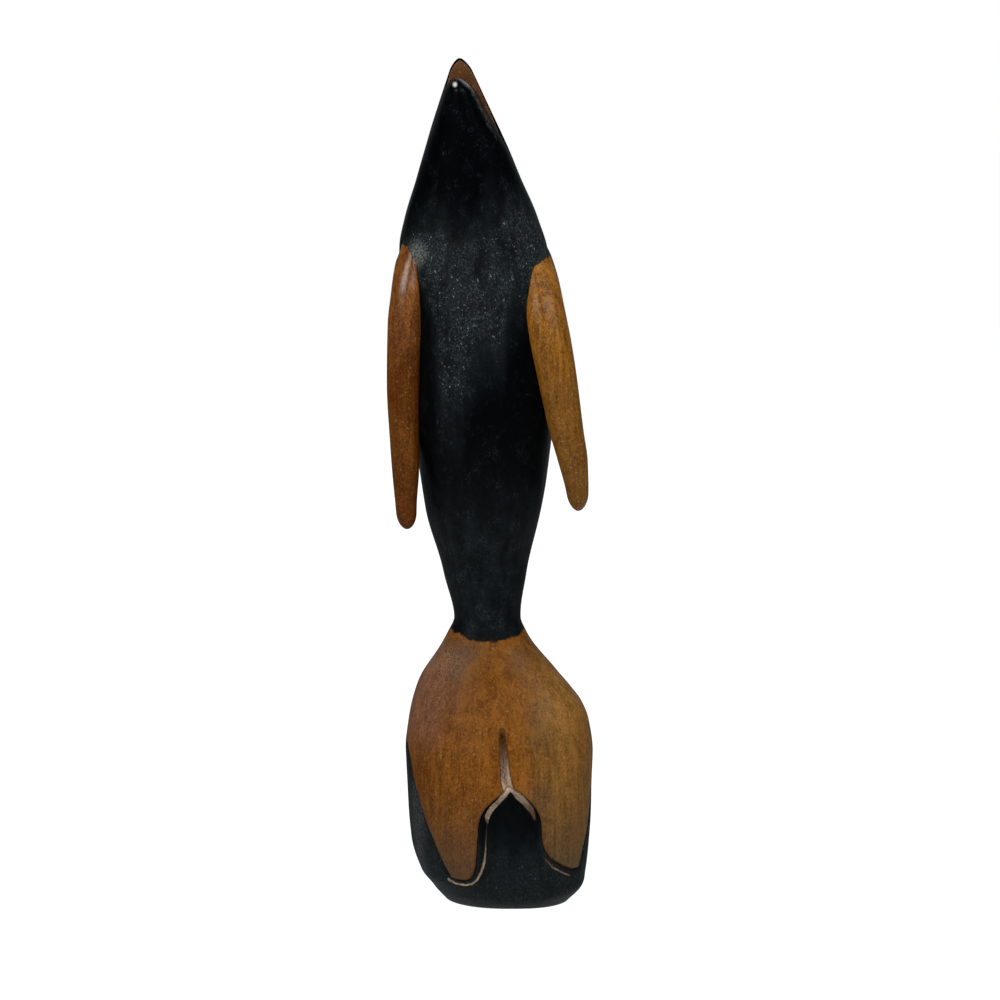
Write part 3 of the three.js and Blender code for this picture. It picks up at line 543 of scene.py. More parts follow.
# %% Outline of the flukes
LOWER_EDGE = np.array([  # angle in degrees, height: left lobe in the picture, notch, right lobe
    [-38.3, 9.6], [-33.4, 9.2], [-27, 9.3], [-22, 10.3], [-18.6, 12.6], [-16.7, 15.5], [-15.6, 19],
    [-14.8, 22.5], [-14, 25.6], [-12.5, 28.3], [-8.7, 31.2], [-1.8, 34.2], [3.4, 36.3], [5.6, 37.2],
    [7, 37.2], [9.8, 36.6], [17.6, 33.7], [23.4, 30.4], [26.2, 27], [27, 22.5], [28.4, 19.4],
    [31.8, 16.6], [36.7, 14.7], [44, 12.8], [50, 11.8], [56.6, 11.6]])
RIGHT_SIDE = np.array([
    [-101, JOINT_Z], [-101, 60], [-98, 54], [-88, 48.5], [-76, 45.8], [-70.5, 42.6], [-67, 38], [-62.5, 34.2],
    [-56.7, 29.2], [-51.7, 24.2], [-46.6, 19.8], [-42.7, 15.3], [-38.3, 9.6]])
LEFT_SIDE = np.array([
    [98, JOINT_Z], [98, 62], [92, 54], [84, 46], [79, 38], [75, 30.4], [67.6, 23], [62.4, 18.6], [59, 14.8],
    [56.6, 11.6]])


def along_line(line, share):
    """Points at shares of a drawn line's length: a smooth curve through its points for each coordinate.
    A degree counts as 0.42 mm."""
    lengths = np.hypot(0.42 * np.diff(line[:, 0]), np.diff(line[:, 1]))
    stretch = np.concatenate([[0], np.cumsum(lengths)])
    return np.stack([curve(stretch / stretch[-1], line[:, i], share) for i in (0, 1)], -1)


def on_base(points, sink=0.0):
    """Points of the base's skin from angle in degrees and height, moved in by the sink."""
    angle, z = np.radians(points[..., 0]), points[..., 1]
    x, y = skin(angle, z)
    x, y = x - sink * np.sin(angle), y + sink * np.cos(angle)
    return np.stack([x, y, z], -1)


print("the outline is drawn through", len(LOWER_EDGE) + len(RIGHT_SIDE) + len(LEFT_SIDE), "points")

# %% [markdown]
# ## Flukes
#
# The flukes are one sheet of wood that fills the outline. A Coons patch blends the four edges of the
# outline into a grid, which follows the notch much better than a flat grid with faces cut away.


# %% A patch that fills four edges
def patch(top, bottom, first, last, u, v):
    """Coons patch: the blend of top and bottom plus the blend of both sides, less that of the four
    corners."""
    u, v = u[None, :, None], v[:, None, None]
    across = (1 - v) * top[None] + v * bottom[None]
    along = (1 - u) * first[:, None] + u * last[:, None]
    corners = ((1 - v) * ((1 - u) * top[0] + u * top[-1]) + v * ((1 - u) * bottom[0] + u * bottom[-1]))
    return across + along - corners


ACROSS, DOWN = 210, 200
u, v = np.linspace(0, 1, ACROSS), np.linspace(0, 1, DOWN)
lower = along_line(LOWER_EDGE, u)
upper = np.stack([np.linspace(RIGHT_SIDE[0, 0], LEFT_SIDE[0, 0], ACROSS), np.full(ACROSS, JOINT_Z)], -1)
sheet = patch(upper, lower, along_line(RIGHT_SIDE, v), along_line(LEFT_SIDE, v), u, v)
fluke_front = on_base(sheet)
print("the sheet spans", np.round(np.ptp(fluke_front.reshape(-1, 3), axis=0), 1), "mm")

# %% [markdown]
# ## Groove and edge of the flukes
#
# The knife has rounded the edge of the sheet and cut a V-shaped groove that widens down to the notch. A
# bevel and a boolean could cut them, but every point can tell how far it lies from the rim and from the
# groove, so the sheet is simply sunk beside the one and along the other.


# %% Groove, rounded edge and thickness
def distance_to_line(points, line):
    """Least distance of each point to the stretches of a line, and where on the line it lies. One pass
    over the stretches, each for all points at once."""
    nearest, place = np.full(len(points), 1e9), np.zeros(len(points))
    for k in range(len(line) - 1):
        stretch = line[k + 1] - line[k]
        t = np.clip((points - line[k]) @ stretch / (stretch @ stretch), 0, 1)
        gap = np.linalg.norm(points - line[k] - t[:, None] * stretch, axis=1)
        place = np.where(gap < nearest, (k + t) / (len(line) - 1), place)
        nearest = np.minimum(gap, nearest)
    return nearest, place


GROOVE = np.array([[2.2, 53.6], [2.4, 50.0], [2.9, 45.5], [3.9, 40.0], [5.8, 36.4]])
GROOVE_DEPTH, FLUKE_THICK = 1.7, 3.4

flat_points = fluke_front.reshape(-1, 3)
rim = np.concatenate([along_line(RIGHT_SIDE, v[::4]), lower[::2], along_line(LEFT_SIDE, v[::-4])])
inside, _ = distance_to_line(flat_points, on_base(rim))
slit, down_slit = distance_to_line(flat_points, on_base(along_line(GROOVE, np.linspace(0, 1, 24))))
inside, slit, down_slit = (a.reshape(DOWN, ACROSS) for a in (inside, slit, down_slit))
half_width = 0.7 + 1.0 * down_slit
valley = np.clip(1 - slit / half_width, 0, 1) * ease(0, 0.12, down_slit)
rounding = 0.6 * np.clip(1 - inside / 0.8, 0, 1) ** 2 * ease(JOINT_Z, 77, sheet[..., 1])
wave = knife(*np.moveaxis(fluke_front, -1, 0))
fluke_front = on_base(sheet, rounding - wave + GROOVE_DEPTH * valley)
fluke_points = np.concatenate([fluke_front.reshape(-1, 3), on_base(sheet, FLUKE_THICK).reshape(-1, 3)])

count = DOWN * ACROSS
index = np.arange(count).reshape(DOWN, ACROSS)
front_quads = np.stack([index[:-1, :-1], index[1:, :-1], index[1:, 1:], index[:-1, 1:]], -1).reshape(-1, 4)
loop = np.concatenate([index[:-1, 0], index[-1, :-1], index[:0:-1, -1], index[0, :0:-1]])
wall = np.stack([loop, np.roll(loop, -1), np.roll(loop, -1) + count, loop + count], -1)[:, ::-1]
print("the groove is up to", round(2 * half_width.max(), 1), "mm wide at the notch")

# %% [markdown]
# ## Stains and painted light of the flukes
#
# The wood isn't one colour: it is mauve, with scuffs and a painted sheen, at the upper corner on the
# figure's right, olive on its left with a lighter patch of painted light, and darker low down as painted
# shade near the base, with a few dark patches. Painting these by hand would need an image, so each stain,
# sheen and shade is a soft spot or a soft gradient, kept as a value of the points. The finish gives each
# one its colour.

# %% Stains, scuffs and painted light of the flukes
fluke_x, _, fluke_z = np.moveaxis(fluke_front, -1, 0)


def blotch(x, z, wide, high):
    """A soft spot: e to the minus square of the distance, measured in its own half width and height."""
    return np.exp(-((fluke_x - x) / wide) ** 2 - ((fluke_z - z) / high) ** 2)


paint_edge = curve([-16, -13, -9.5, -6, -2.5, 0, 2.8, 7.6, 10],
                   [82, 81, 79.8, 78.8, 78.6, 79.4, 79.7, 81, 82], fluke_x)
fluke_values = {
    "painted": fluke_z - paint_edge,
    "bare": half_width * 0.9 - slit,
    "down": down_slit,
    "mauve": ease(-14, -21, fluke_x) * ease(42, 56, fluke_z),
    "rusty": blotch(-15, 66, 5, 11) + 0.5 * blotch(-24, 40, 5, 10),
    "olive": ease(4, 17, fluke_x),
    # A lighter patch on the figure's left: painted light falling from that side.
    "faded": blotch(19, 60, 6, 9),
    # Painted shade: darker low down near the base, with a few dark patches, some near the root.
    "grimy": (0.55 * ease(40, 8, fluke_z) + 0.4 * blotch(-9, 76, 6, 4) + 0.3 * blotch(6, 73, 4, 4)
              + 0.2 * blotch(-11, 69, 5, 7) + 0.28 * blotch(11.5, 54, 4, 7) + 0.28 * blotch(12, 34, 4.5, 5)),
    # Scuffs with a painted sheen at the upper corner on the figure's right.
    "scuffed": blotch(-17, 73.5, 6, 5) + 0.35 * blotch(-20.5, 66, 6, 7),
}
tail_flukes = piece("tail_flukes_carved", fluke_points, [front_quads, front_quads[:, ::-1] + count, wall],
                    "tail_flukes", "brown_wood",
                    **{key: np.tile(value.reshape(-1), 2) for key, value in fluke_values.items()})

# %% [markdown]
# ## Base
#
# The base is the black block behind and below the flukes. The knife cut beside the lobes leaves a dark
# groove with a pale lip of raw wood. A second mesh could stand for the lip, but it is part of the base:
# each point knows its distance from the outline, sinks under the flukes, rises out of the groove to the
# lip, and falls back again inside the notch.

# %% The cut beside the lobes
CUT = np.array([  # angle on the lower edge, width of the groove, width of the pale lip, lightness of the lip
    [-38.3, 1.2, 0.4, 1.0], [-36, 1.4, 0.5, 1.0], [-26, 1.6, 0.4, 0.8], [-20, 2.0, 0.5, 0.9],
    [-17, 2.4, 0.5, 0.9], [-15.8, 2.5, 0.3, 0.7], [-15.0, 2.5, 0.2, 0.4], [-13.6, 2.4, 0.15, 0.3],
    [-12.8, 2.4, 0.8, 1.0], [-11, 2.3, 1.4, 1.0], [-4, 2.0, 1.4, 1.0], [2, 1.6, 1.5, 1.0], [5, 1.2, 1.5, 1.0],
    [9, 1.3, 1.6, 0.9], [14, 1.9, 1.8, 0.65], [20, 2.0, 1.6, 0.3], [24, 1.8, 0.9, 0.08],
    [26.2, 1.5, 0.1, 0.05], [27, 1.4, 0.0, 0.05], [29, 1.4, 0.0, 0.05], [32, 1.8, 0.3, 0.1],
    [37, 2.2, 0.5, 0.3], [44, 2.2, 0.5, 0.35], [48, 2.0, 0.2, 0.3], [51, 1.5, 0.0, 0.0],
    [56.6, 1.2, 0.0, 0.0]])
SIDE_CUT_RIGHT, SIDE_CUT_LEFT = 1.3, 0.6

facing = np.concatenate([np.linspace(start, end, columns, endpoint=False)
                         for start, end, columns in ((-108, 108, 300), (108, 252, 70))])
base_z = (JOINT_Z - 0.2) * np.linspace(0, 1, 210) ** 1.15
base_grid = np.stack(np.broadcast_arrays(facing[None, :], base_z[:, None]), -1)
base_skin = on_base(base_grid).reshape(-1, 3)

right_gap, left_gap = (distance_to_line(base_skin, on_base(along_line(line, v[::3])))[0]
                       for line in (RIGHT_SIDE, LEFT_SIDE))
lower_gap, place = distance_to_line(base_skin, on_base(lower))
side_gap = np.minimum(right_gap, left_gap)
gap = np.minimum(side_gap, lower_gap)
at_side = side_gap < lower_gap
edge_angle = np.interp(place, np.linspace(0, 1, ACROSS), lower[:, 0])
cut_width, lip_width, lip_light = (curve(CUT[:, 0], CUT[:, i], edge_angle) for i in (1, 2, 3))
cut_width = np.where(at_side, np.where(right_gap < left_gap, SIDE_CUT_RIGHT, SIDE_CUT_LEFT), cut_width)
lip_width = np.where(at_side, 0.0, lip_width)
print("the cut is up to", round(cut_width.max(), 1), "mm wide")

# %% Under the flukes and in the notch
degrees, height = base_grid[..., 0].reshape(-1), base_grid[..., 1].reshape(-1)
right_edge, left_edge = (np.interp(height, line[::-1, 1], line[::-1, 0]) for line in (RIGHT_SIDE, LEFT_SIDE))
low_edge = np.interp(degrees, LOWER_EDGE[:, 0], LOWER_EDGE[:, 1], left=99, right=99)
above_w = (degrees < LOWER_EDGE[0, 0]) | (degrees > LOWER_EDGE[-1, 0]) | (height > low_edge)
covered = (degrees > right_edge) & (degrees < left_edge) & above_w & (height > 9)
gap = np.where(covered, -gap, gap)
in_notch = ease(-17, -12, degrees) * ease(29, 24, degrees) * (~covered)
print(round(100 * covered.mean()), "per cent of the base's points lie under the flukes")

# %% Base
CUT_DEPTH, UNDER_FLUKES = 1.2, 3.8

hollow = curve([2, 9, 16, 24, 36], [0, 1.3, 2.7, 3.0, 2.1], height) * in_notch * ease(0, 2.4, gap)
bevel = CUT_DEPTH * np.clip(1 - gap / cut_width, 0, 1) ** 1.3
under = CUT_DEPTH + (UNDER_FLUKES - CUT_DEPTH) * ease(0, 0.5, -gap)
sink = np.where(covered, under, bevel + hollow - knife(*base_skin.T))
base_rings = on_base(base_grid, sink.reshape(base_grid.shape[:2]))
base_x, base_y, base_up = np.moveaxis(base_rings, -1, 0)
# Dust and painted light on the base: an even share that also stands for light from the ground on its front,
# and more along the foot's edge.
dust = 1.4 + 0.9 * ease(1.6, 0.2, base_up)
# Painted shade in the notch: less share, darker towards the notch's top under the flukes.
dust -= 1.15 * in_notch.reshape(base_x.shape) * ease(4, 30, base_up)
# Painted light on the lit facet at the figure's right front.
dust += 0.5 * ease(-20, -24, base_x) * ease(-4, -10, base_y) * ease(44, 30, base_up)
lip_values = {"lip": gap - cut_width, "lip_width": lip_width, "lip_light": lip_light}
base = tube("base_carved", base_rings, "base", "black_paint", dust=dust,
            **{key: value.reshape(base_x.shape) for key, value in lip_values.items()})

# %% [markdown]
# ## Helpers for node trees
#
# A finish is a tree of nodes. It could be drawn by hand in the shader editor, but then it could not be
# read here. A small helper that adds a node and fills its sockets, with a number, a colour or the output
# of another node, keeps each tree short.


# %% Helpers for node trees
def add(tree, kind, inputs=None, **settings):
    """A new shader node with its settings, its inputs given by name or place as a value or an output."""
    made = tree.nodes.new("ShaderNode" + kind)
    for key, value in settings.items():
        setattr(made, key, value)
    for key, value in (inputs or {}).items():
        if isinstance(value, bpy.types.NodeSocket):
            tree.links.new(value, made.inputs[key])
        else:
            made.inputs[key].default_value = value
    return made


def maths(tree, operation, *inputs):
    """Output of a Math node."""
    return add(tree, "Math", dict(enumerate(inputs)), operation=operation).outputs[0]


def times(tree, product, *others):
    """Product of values."""
    for other in others:
        product = maths(tree, "MULTIPLY", product, other)
    return product


def weighted(tree, *parts):
    """Sum of values, each times its own weight."""
    total = 0.0
    for value, weight in parts:
        total = maths(tree, "MULTIPLY_ADD", value, weight, total)
    return total


def grain(tree, stretch, scale, detail=3.0, roughness=0.6):
    """Noise on the object's own coordinates, which are stretched first, so that its spots become
    streaks. One node of coordinates serves the whole tree."""
    place = (tree.nodes.get("Texture Coordinate") or add(tree, "TexCoord")).outputs["Object"]
    drawn_out = add(tree, "VectorMath", {0: place, 1: stretch}, operation="MULTIPLY").outputs[0]
    return add(tree, "TexNoise", {"Vector": drawn_out, "Scale": scale, "Detail": detail,
                                  "Roughness": roughness}).outputs[0]


def between(tree, value, low, high, to_low=0.0, to_high=1.0):
    """Map Range with smooth ends."""
    return add(tree, "MapRange", {"Value": value, "From Min": low, "From Max": high, "To Min": to_low,
                                  "To Max": to_high}, interpolation_type="SMOOTHSTEP").outputs[0]


def blend(tree, factor, first, second):
    """Mix of two colours."""
    return add(tree, "Mix", {0: factor, 6: first, 7: second}, data_type="RGBA").outputs[2]


def fresh_tree(owner):
    """The emptied node tree of a material or a world."""
    owner.use_nodes = True
    owner.node_tree.nodes.clear()
    return owner.node_tree


def group(name, inputs, outputs):
    """An empty node group with its sockets, and the ends of its tree."""
    made = bpy.data.node_groups.new(name, "ShaderNodeTree")
    for socket, kind, value in inputs:
        entry = made.interface.new_socket(socket, in_out="INPUT", socket_type="NodeSocket" + kind)
        entry.default_value = value
    for socket, kind in outputs:
        made.interface.new_socket(socket, in_out="OUTPUT", socket_type="NodeSocket" + kind)
    return made, made.nodes.new("NodeGroupInput").outputs, made.nodes.new("NodeGroupOutput").inputs


SURFACE = [("Color", "Color"), ("Roughness", "Float"), ("Height", "Float")]
print("each finish gives", ", ".join(socket for socket, _ in SURFACE))

# %% [markdown]
# ## Brushed black paint
#
# The paint is thin and satin. The wood's upright grain shows through it as fine ridges, and dust lies on
# it as a veil with pale specks; the veil also carries painted light where the surface faces the lamps,
# and a few bright glints are painted into the colour as highlights. An image texture would fix this to one
# photograph, so noise on the piece's own coordinates makes it, in metres: a scale of 1000 gives spots
# about a millimetre wide. One value gives the share of dust and painted light, and Specks how strongly
# it breaks up.

# %% Brushed black paint
paint, given, out = group("Brushed black paint", [("Dust", "Float", 0.0), ("Specks", "Float", 1.0)], SURFACE)
dusty, speckled = given["Dust"], given["Specks"]
ridges = grain(paint, (1, 1, 0.2), 560, 4)
lumps = grain(paint, (1, 1, 0.3), 150, 2)
runs = grain(paint, (1, 1, 0.12), 300, 2)
blotches = grain(paint, (1, 1, 0.7), 260, 4, 0.75)
fine = grain(paint, (1, 1, 0.8), 2100, 2.5, 0.75)
coarse = grain(paint, (1, 1, 0.8), 1700, 1)

cover = times(paint, between(paint, weighted(paint, (blotches, 1.6), (runs, 1.2)), 0.9, 1.75), dusty)
# The veil lifts the black with the dust and with painted light.
veil = maths(paint, "MULTIPLY_ADD", dusty, 0.3, cover)
black = blend(paint, veil, (0.0008, 0.0013, 0.0018, 1), (0.0068, 0.0092, 0.0102, 1))
thick = maths(paint, "MULTIPLY_ADD", cover, between(paint, dusty, 0.68, 0.9, 0.2, 1.0),
              between(paint, blotches, 0.5, 0.7, 0.0, 0.4))
specks = times(paint, between(paint, fine, 0.47, 0.66), thick, speckled)
black = blend(paint, specks, black, (0.040, 0.053, 0.057, 1))
# Painted highlights: a few bright glints of the lamps put into the colour.
glints = times(paint, between(paint, coarse, 0.68, 0.76), between(paint, dusty, 0.7, 1.0), speckled)
black = blend(paint, glints, black, (0.19, 0.21, 0.21, 1))
# Where the share is highest, a pale haze: dust with a painted sheen, on the base's foot and lit facet and
# beside the flipper's root.
haze = times(paint, between(paint, dusty, 1.2, 3.2), between(paint, fine, 0.36, 0.62, 0.1, 1.0))
paint.links.new(blend(paint, haze, black, (0.15, 0.165, 0.155, 1)), out["Color"])
rough = maths(paint, "MULTIPLY_ADD", ridges, 0.3, dusty)
paint.links.new(between(paint, rough, 0.0, 1.2, 0.28, 0.5), out["Roughness"])
height = times(paint, weighted(paint, (fine, 0.14), (ridges, 0.10)),
               maths(paint, "MULTIPLY_ADD", dusty, 0.8, 0.2))
paint.links.new(maths(paint, "MULTIPLY_ADD", lumps, 0.25, height), out["Height"])
print(paint.name, len(paint.nodes), "nodes")

# %% [markdown]
# ## Brown wood
#
# The wood is fine-grained, with upright streaks, dark pores, pale flecks that are partly painted glints on
# the edges of pores, and a reddish cast in places, and faint marks across it from sanding. A picture of
# wood would repeat itself from piece to piece. One group makes all of this from noise, and each piece
# gives it its own light, dark and reddish brown.

# %% Brown wood
wood, given, out = group("Oiled brown wood", [
    ("Light", "Color", (0.3, 0.12, 0.025, 1)), ("Dark", "Color", (0.11, 0.04, 0.009, 1)),
    ("Red", "Color", (0.24, 0.08, 0.03, 1)), ("Redness", "Float", 0.0), ("Flecks", "Float", 0.3)], SURFACE)
streaks = grain(wood, (1, 1, 0.06), 900, 4, 0.7)
bands = grain(wood, (1, 1, 0.12), 130, 2)
mottle = grain(wood, (1, 1, 0.7), 220, 5, 0.8)
speckle = grain(wood, (1, 1, 0.7), 1900, 2, 0.8)
cast = grain(wood, (1, 1, 0.25), 90, 3)
sanding = grain(wood, (0.12, 0.12, 1), 2400, 2)
pores = between(wood, grain(wood, (1, 1, 0.35), 1300, 1), 0.72, 0.8)
flecks = between(wood, grain(wood, (1, 1, 0.6), 1900, 1), 0.62, 0.75)

tone = weighted(wood, (streaks, 0.6), (bands, 0.4), (mottle, 0.6), (speckle, 0.8), (sanding, 0.1))
tone = between(wood, tone, 1.02, 1.48)
brown = blend(wood, tone, given["Dark"], given["Light"])
dark_red = add(wood, "VectorMath", {0: given["Red"], "Scale": 0.45}, operation="SCALE").outputs[0]
reddish = times(wood, between(wood, cast, 0.36, 0.54), given["Redness"])
brown = blend(wood, reddish, brown, blend(wood, tone, dark_red, given["Red"]))
# Pale flecks in the colour, partly painted glints of light on the pores' edges.
brown = blend(wood, times(wood, flecks, given["Flecks"]), brown, (0.42, 0.24, 0.09, 1))
brown = blend(wood, times(wood, pores, 0.75), brown, (0.02, 0.008, 0.003, 1))
wood.links.new(brown, out["Color"])
wood.links.new(between(wood, mottle, 0.3, 0.7, 0.34, 0.5), out["Roughness"])
height = weighted(wood, (streaks, 0.05), (speckle, 0.08), (sanding, 0.02), (pores, -0.08))
wood.links.new(height, out["Height"])
print(wood.name, len(wood.nodes), "nodes")

# %% [markdown]
# ## Ragged edges
#
# Paint doesn't end in a straight line, and neither does a knife cut. A finer mesh could follow every
# chip, but noise does it more cheaply: each piece carries its distance from such an edge as a value, in
# millimetres, and this group turns it into a mask with a wavering border.

# %% Ragged edge
ragged, given, out = group("Ragged edge", [
    ("Past", "Float", 0.0), ("Waver", "Float", 1.0), ("Softness", "Float", 0.3)], [("Mask", "Float")])
waver = maths(ragged, "SUBTRACT", grain(ragged, (1, 1, 0.7), 420, 4), 0.5)
past = maths(ragged, "MULTIPLY_ADD", waver, given["Waver"], given["Past"])
mask = between(ragged, past, times(ragged, given["Softness"], -1.0), given["Softness"])
ragged.links.new(mask, out["Mask"])
print(ragged.name, len(ragged.nodes), "nodes")

# %% [markdown]
# ## Materials of the pieces
#
# Each material has its own shader, because the groups give only colours, roughness and heights. Plain
# paint and plain wood come straight from their groups, and the pieces where two finishes meet mix them
# with a ragged mask. Constant numbers, such as how strongly a finish shines, stay on the shader itself.


# %% Helpers for the materials
def use(tree, made, **inputs):
    """Outputs of one of the groups with its own values."""
    return add(tree, "Group", inputs, node_tree=made).outputs[:]


def value_of(tree, name):
    """A value that the piece carries at each of its points."""
    return add(tree, "Attribute", attribute_name=name).outputs["Fac"]


def plain(made, **inputs):
    """A build function that takes colour, roughness and height straight from a group."""
    return lambda tree: use(tree, made, **inputs)


def mixed(tree, mask, first, second):
    """Colour, roughness and height of two finishes, mixed by a mask."""
    numbers = (add(tree, "Mix", {0: mask, 2: one, 3: other}).outputs[0]
               for one, other in zip(first[1:], second[1:]))
    return blend(tree, mask, first[0], second[0]), *numbers


def finish(name, pieces_of_it, build, shine=0.5, coat=0.0):
    """A material whose build function returns colour, roughness and height in millimetres for its
    shader, and perhaps a coat that changes over the surface."""
    made = bpy.data.materials.new(name)
    tree = fresh_tree(made)
    colour, roughness, height, *varying_coat = build(tree)
    bump = add(tree, "Bump", {"Height": height, "Distance": MM, "Strength": 1.0})
    shader = add(tree, "BsdfPrincipled", {
        "Base Color": colour, "Roughness": roughness, "Normal": bump.outputs[0], "Specular IOR Level": shine,
        "Coat Weight": varying_coat[0] if varying_coat else coat, "Coat Roughness": 0.3})
    tree.links.new(shader.outputs[0], add(tree, "OutputMaterial").inputs["Surface"])
    for one in pieces_of_it:
        one.data.materials.clear()
        one.data.materials.append(made)
    print(name, "on", ", ".join(one.name for one in pieces_of_it))


print("finishes are made from", ", ".join(made.name for made in (paint, wood, ragged)))

# %% [markdown]
# ## Black pieces
#
# Body, jaw and base share the paint, with its dust and painted light, but the jaw is rubbed grey at one edge
# and has a pale spot at its tip, a chip with a painted highlight, and the base has a lip of raw wood beside
# the knife cut, darkened in places as painted shade. Separate thin meshes for these could flicker where
# they touch, so masks change the colour instead.

# %% Black paint
PALE_WOOD = dict(Light=(0.48, 0.355, 0.26, 1), Dark=(0.13, 0.085, 0.06, 1), Flecks=0.6)
SATIN = 0.05


def body_finish(tree):
    """Paint with the share of dustiness and painted light that the body carries."""
    return use(tree, paint, Dust=value_of(tree, "dust"))


def jaw_finish(tree):
    """Paint that is worn grey along one edge and at the tip, with a pale spot on the tip, where paint has
    come off, that also serves as a painted highlight.
    """
    black, *surface = body_finish(tree)
    past_edge = maths(tree, "MULTIPLY_ADD", value_of(tree, "worn"), 2.0, -1.5)
    rubbed, = use(tree, ragged, Past=past_edge, Waver=3.0, Softness=0.8)
    scuffs = between(tree, grain(tree, (1, 1, 0.5), 1100, 3, 0.7), 0.42, 0.62, 0.12, 0.75)
    colour = blend(tree, times(tree, rubbed, scuffs), black, (0.12, 0.11, 0.10, 1))
    # The pale spot on the tip is a chip of paint and a painted highlight.
    chip = between(tree, value_of(tree, "chipped"), 0.2, 1.0)
    return blend(tree, chip, colour, (0.72, 0.71, 0.68, 1)), *surface


def base_finish(tree):
    """Paint with a lip of raw wood beside the knife cut. The lip is where the distance past the groove lies
    between minus its width and a little over nought. Where its lightness is low it turns dark brown, as
    painted shade and soiling in the cut."""
    black, raw = use(tree, paint, Dust=value_of(tree, "dust"), Specks=0.22), use(tree, wood, **PALE_WOOD)
    past, width = value_of(tree, "lip"), value_of(tree, "lip_width")
    begun, = use(tree, ragged, Past=maths(tree, "ADD", past, width), Waver=0.7, Softness=0.12)
    ended, = use(tree, ragged, Past=maths(tree, "ADD", past, -0.12), Waver=0.9, Softness=0.12)
    lip = times(tree, begun, maths(tree, "SUBTRACT", 1.0, ended), between(tree, width, 0.1, 0.3))
    # Dark brown where the lip's lightness is low: painted shade and soiling in the cut.
    soiled = blend(tree, value_of(tree, "lip_light"), (0.075, 0.038, 0.016, 1), raw[0])
    return mixed(tree, lip, black, (soiled, *raw[1:]))


finish("black_paint", [body], body_finish, shine=SATIN)
finish("black_paint_jaw", [lower_jaw], jaw_finish, shine=SATIN)
finish("black_paint_base", [base], base_finish, shine=SATIN)

# %% [markdown]
# ## Brown pieces
#
# The flippers are glossier and lighter towards their roots, where the black paint begins, and part of that
# lightness is a painted highlight. The flukes carry their stains, a painted sheen and painted shade. One
# brown for all would be simpler, but the photograph shows a redder and a more golden flipper, so each piece
# has its own browns. The dowels inside keep their solids and get a plain, light wood.


# %% Brown wood on the flippers
def flipper_finish(coat, low, high, **browns):
    """Wood that is lighter and glossier where it is pale, below the paint's edge, the lighter colour
    being partly a painted highlight, and black paint above it."""
    def build(tree):
        pale = value_of(tree, "pale")
        edge, = use(tree, ragged, Past=value_of(tree, "painted"), Waver=3.0, Softness=0.25)
        brown = use(tree, wood, Light=blend(tree, pale, low, high), **browns)
        black = use(tree, paint, Dust=value_of(tree, "dust"), Specks=0.5)
        return *mixed(tree, edge, brown, black), times(tree, between(tree, edge, 0, 1, coat, 0), pale)
    return build


finish("brown_wood_right_flipper", [right_flipper],
       flipper_finish(0.8, (0.13, 0.040, 0.003, 1), (0.37, 0.132, 0.018, 1), Dark=(0.065, 0.016, 0.001, 1),
                      Red=(0.145, 0.034, 0.004, 1), Redness=0.35, Flecks=0.3), shine=0.08)
finish("brown_wood_left_flipper", [left_flipper],
       flipper_finish(0.15, (0.20, 0.083, 0.010, 1), (0.385, 0.15, 0.0135, 1), Dark=(0.10, 0.036, 0.003, 1),
                      Flecks=0.6), shine=0.15)


# %% Brown wood on the flukes
def fluke_finish(tree):
    """Golden wood that turns olive on one side, with a lighter patch of painted light, and rusty and mauve on
    the other, darker low down as painted shade with a few dark patches, a corner with scuffs and a painted
    sheen, pale raw wood between the edges of the groove, which are darkened as painted shade, and black
    paint over the root."""
    light, dark = (0.255, 0.091, 0.009, 1), (0.100, 0.031, 0.003, 1)
    # Olive and rusty are stains; the lighter patch is painted light.
    for stain, light_stain, dark_stain in (("olive", (0.265, 0.120, 0.025, 1), (0.105, 0.046, 0.008, 1)),
                                           ("faded", (0.370, 0.165, 0.035, 1), (0.150, 0.066, 0.012, 1)),
                                           ("rusty", (0.165, 0.052, 0.010, 1), (0.075, 0.021, 0.003, 1))):
        share = value_of(tree, stain)
        light, dark = blend(tree, share, light, light_stain), blend(tree, share, dark, dark_stain)
    colour, *surface = use(tree, wood, Light=light, Dark=dark, Red=(0.26, 0.108, 0.056, 1),
                           Redness=value_of(tree, "mauve"), Flecks=0.35)
    # Darkened by the painted shade low down and the few dark patches.
    colour = blend(tree, value_of(tree, "grimy"), colour, (0.028, 0.038, 0.034, 1))

    bare = value_of(tree, "bare")
    # The groove's edges are darkened as painted shade.
    cut, = use(tree, ragged, Past=maths(tree, "ADD", bare, 0.4), Waver=0.7, Softness=0.25)
    colour = blend(tree, times(tree, cut, 0.65), colour, (0.04, 0.016, 0.006, 1))
    groove, = use(tree, ragged, Past=bare, Waver=0.9, Softness=0.2)
    groove = times(tree, groove, between(tree, value_of(tree, "down"), 0.1, 0.85))
    colour, *surface = mixed(tree, groove, (colour, *surface), use(tree, wood, **PALE_WOOD))

    # A pale painted sheen, broken up like scratches, on the scuffed corner.
    scratches = between(tree, grain(tree, (1, 1, 1), 2000, 2, 0.7), 0.42, 0.7)
    rubbed = times(tree, value_of(tree, "scuffed"), scratches, 0.85)
    colour = blend(tree, rubbed, colour, (0.25, 0.185, 0.14, 1))
    edge, = use(tree, ragged, Past=value_of(tree, "painted"), Waver=4.0, Softness=0.35)
    return mixed(tree, edge, (colour, *surface), use(tree, paint, Dust=0.5, Specks=0.5))


finish("brown_wood_flukes", [tail_flukes], fluke_finish, shine=0.09)

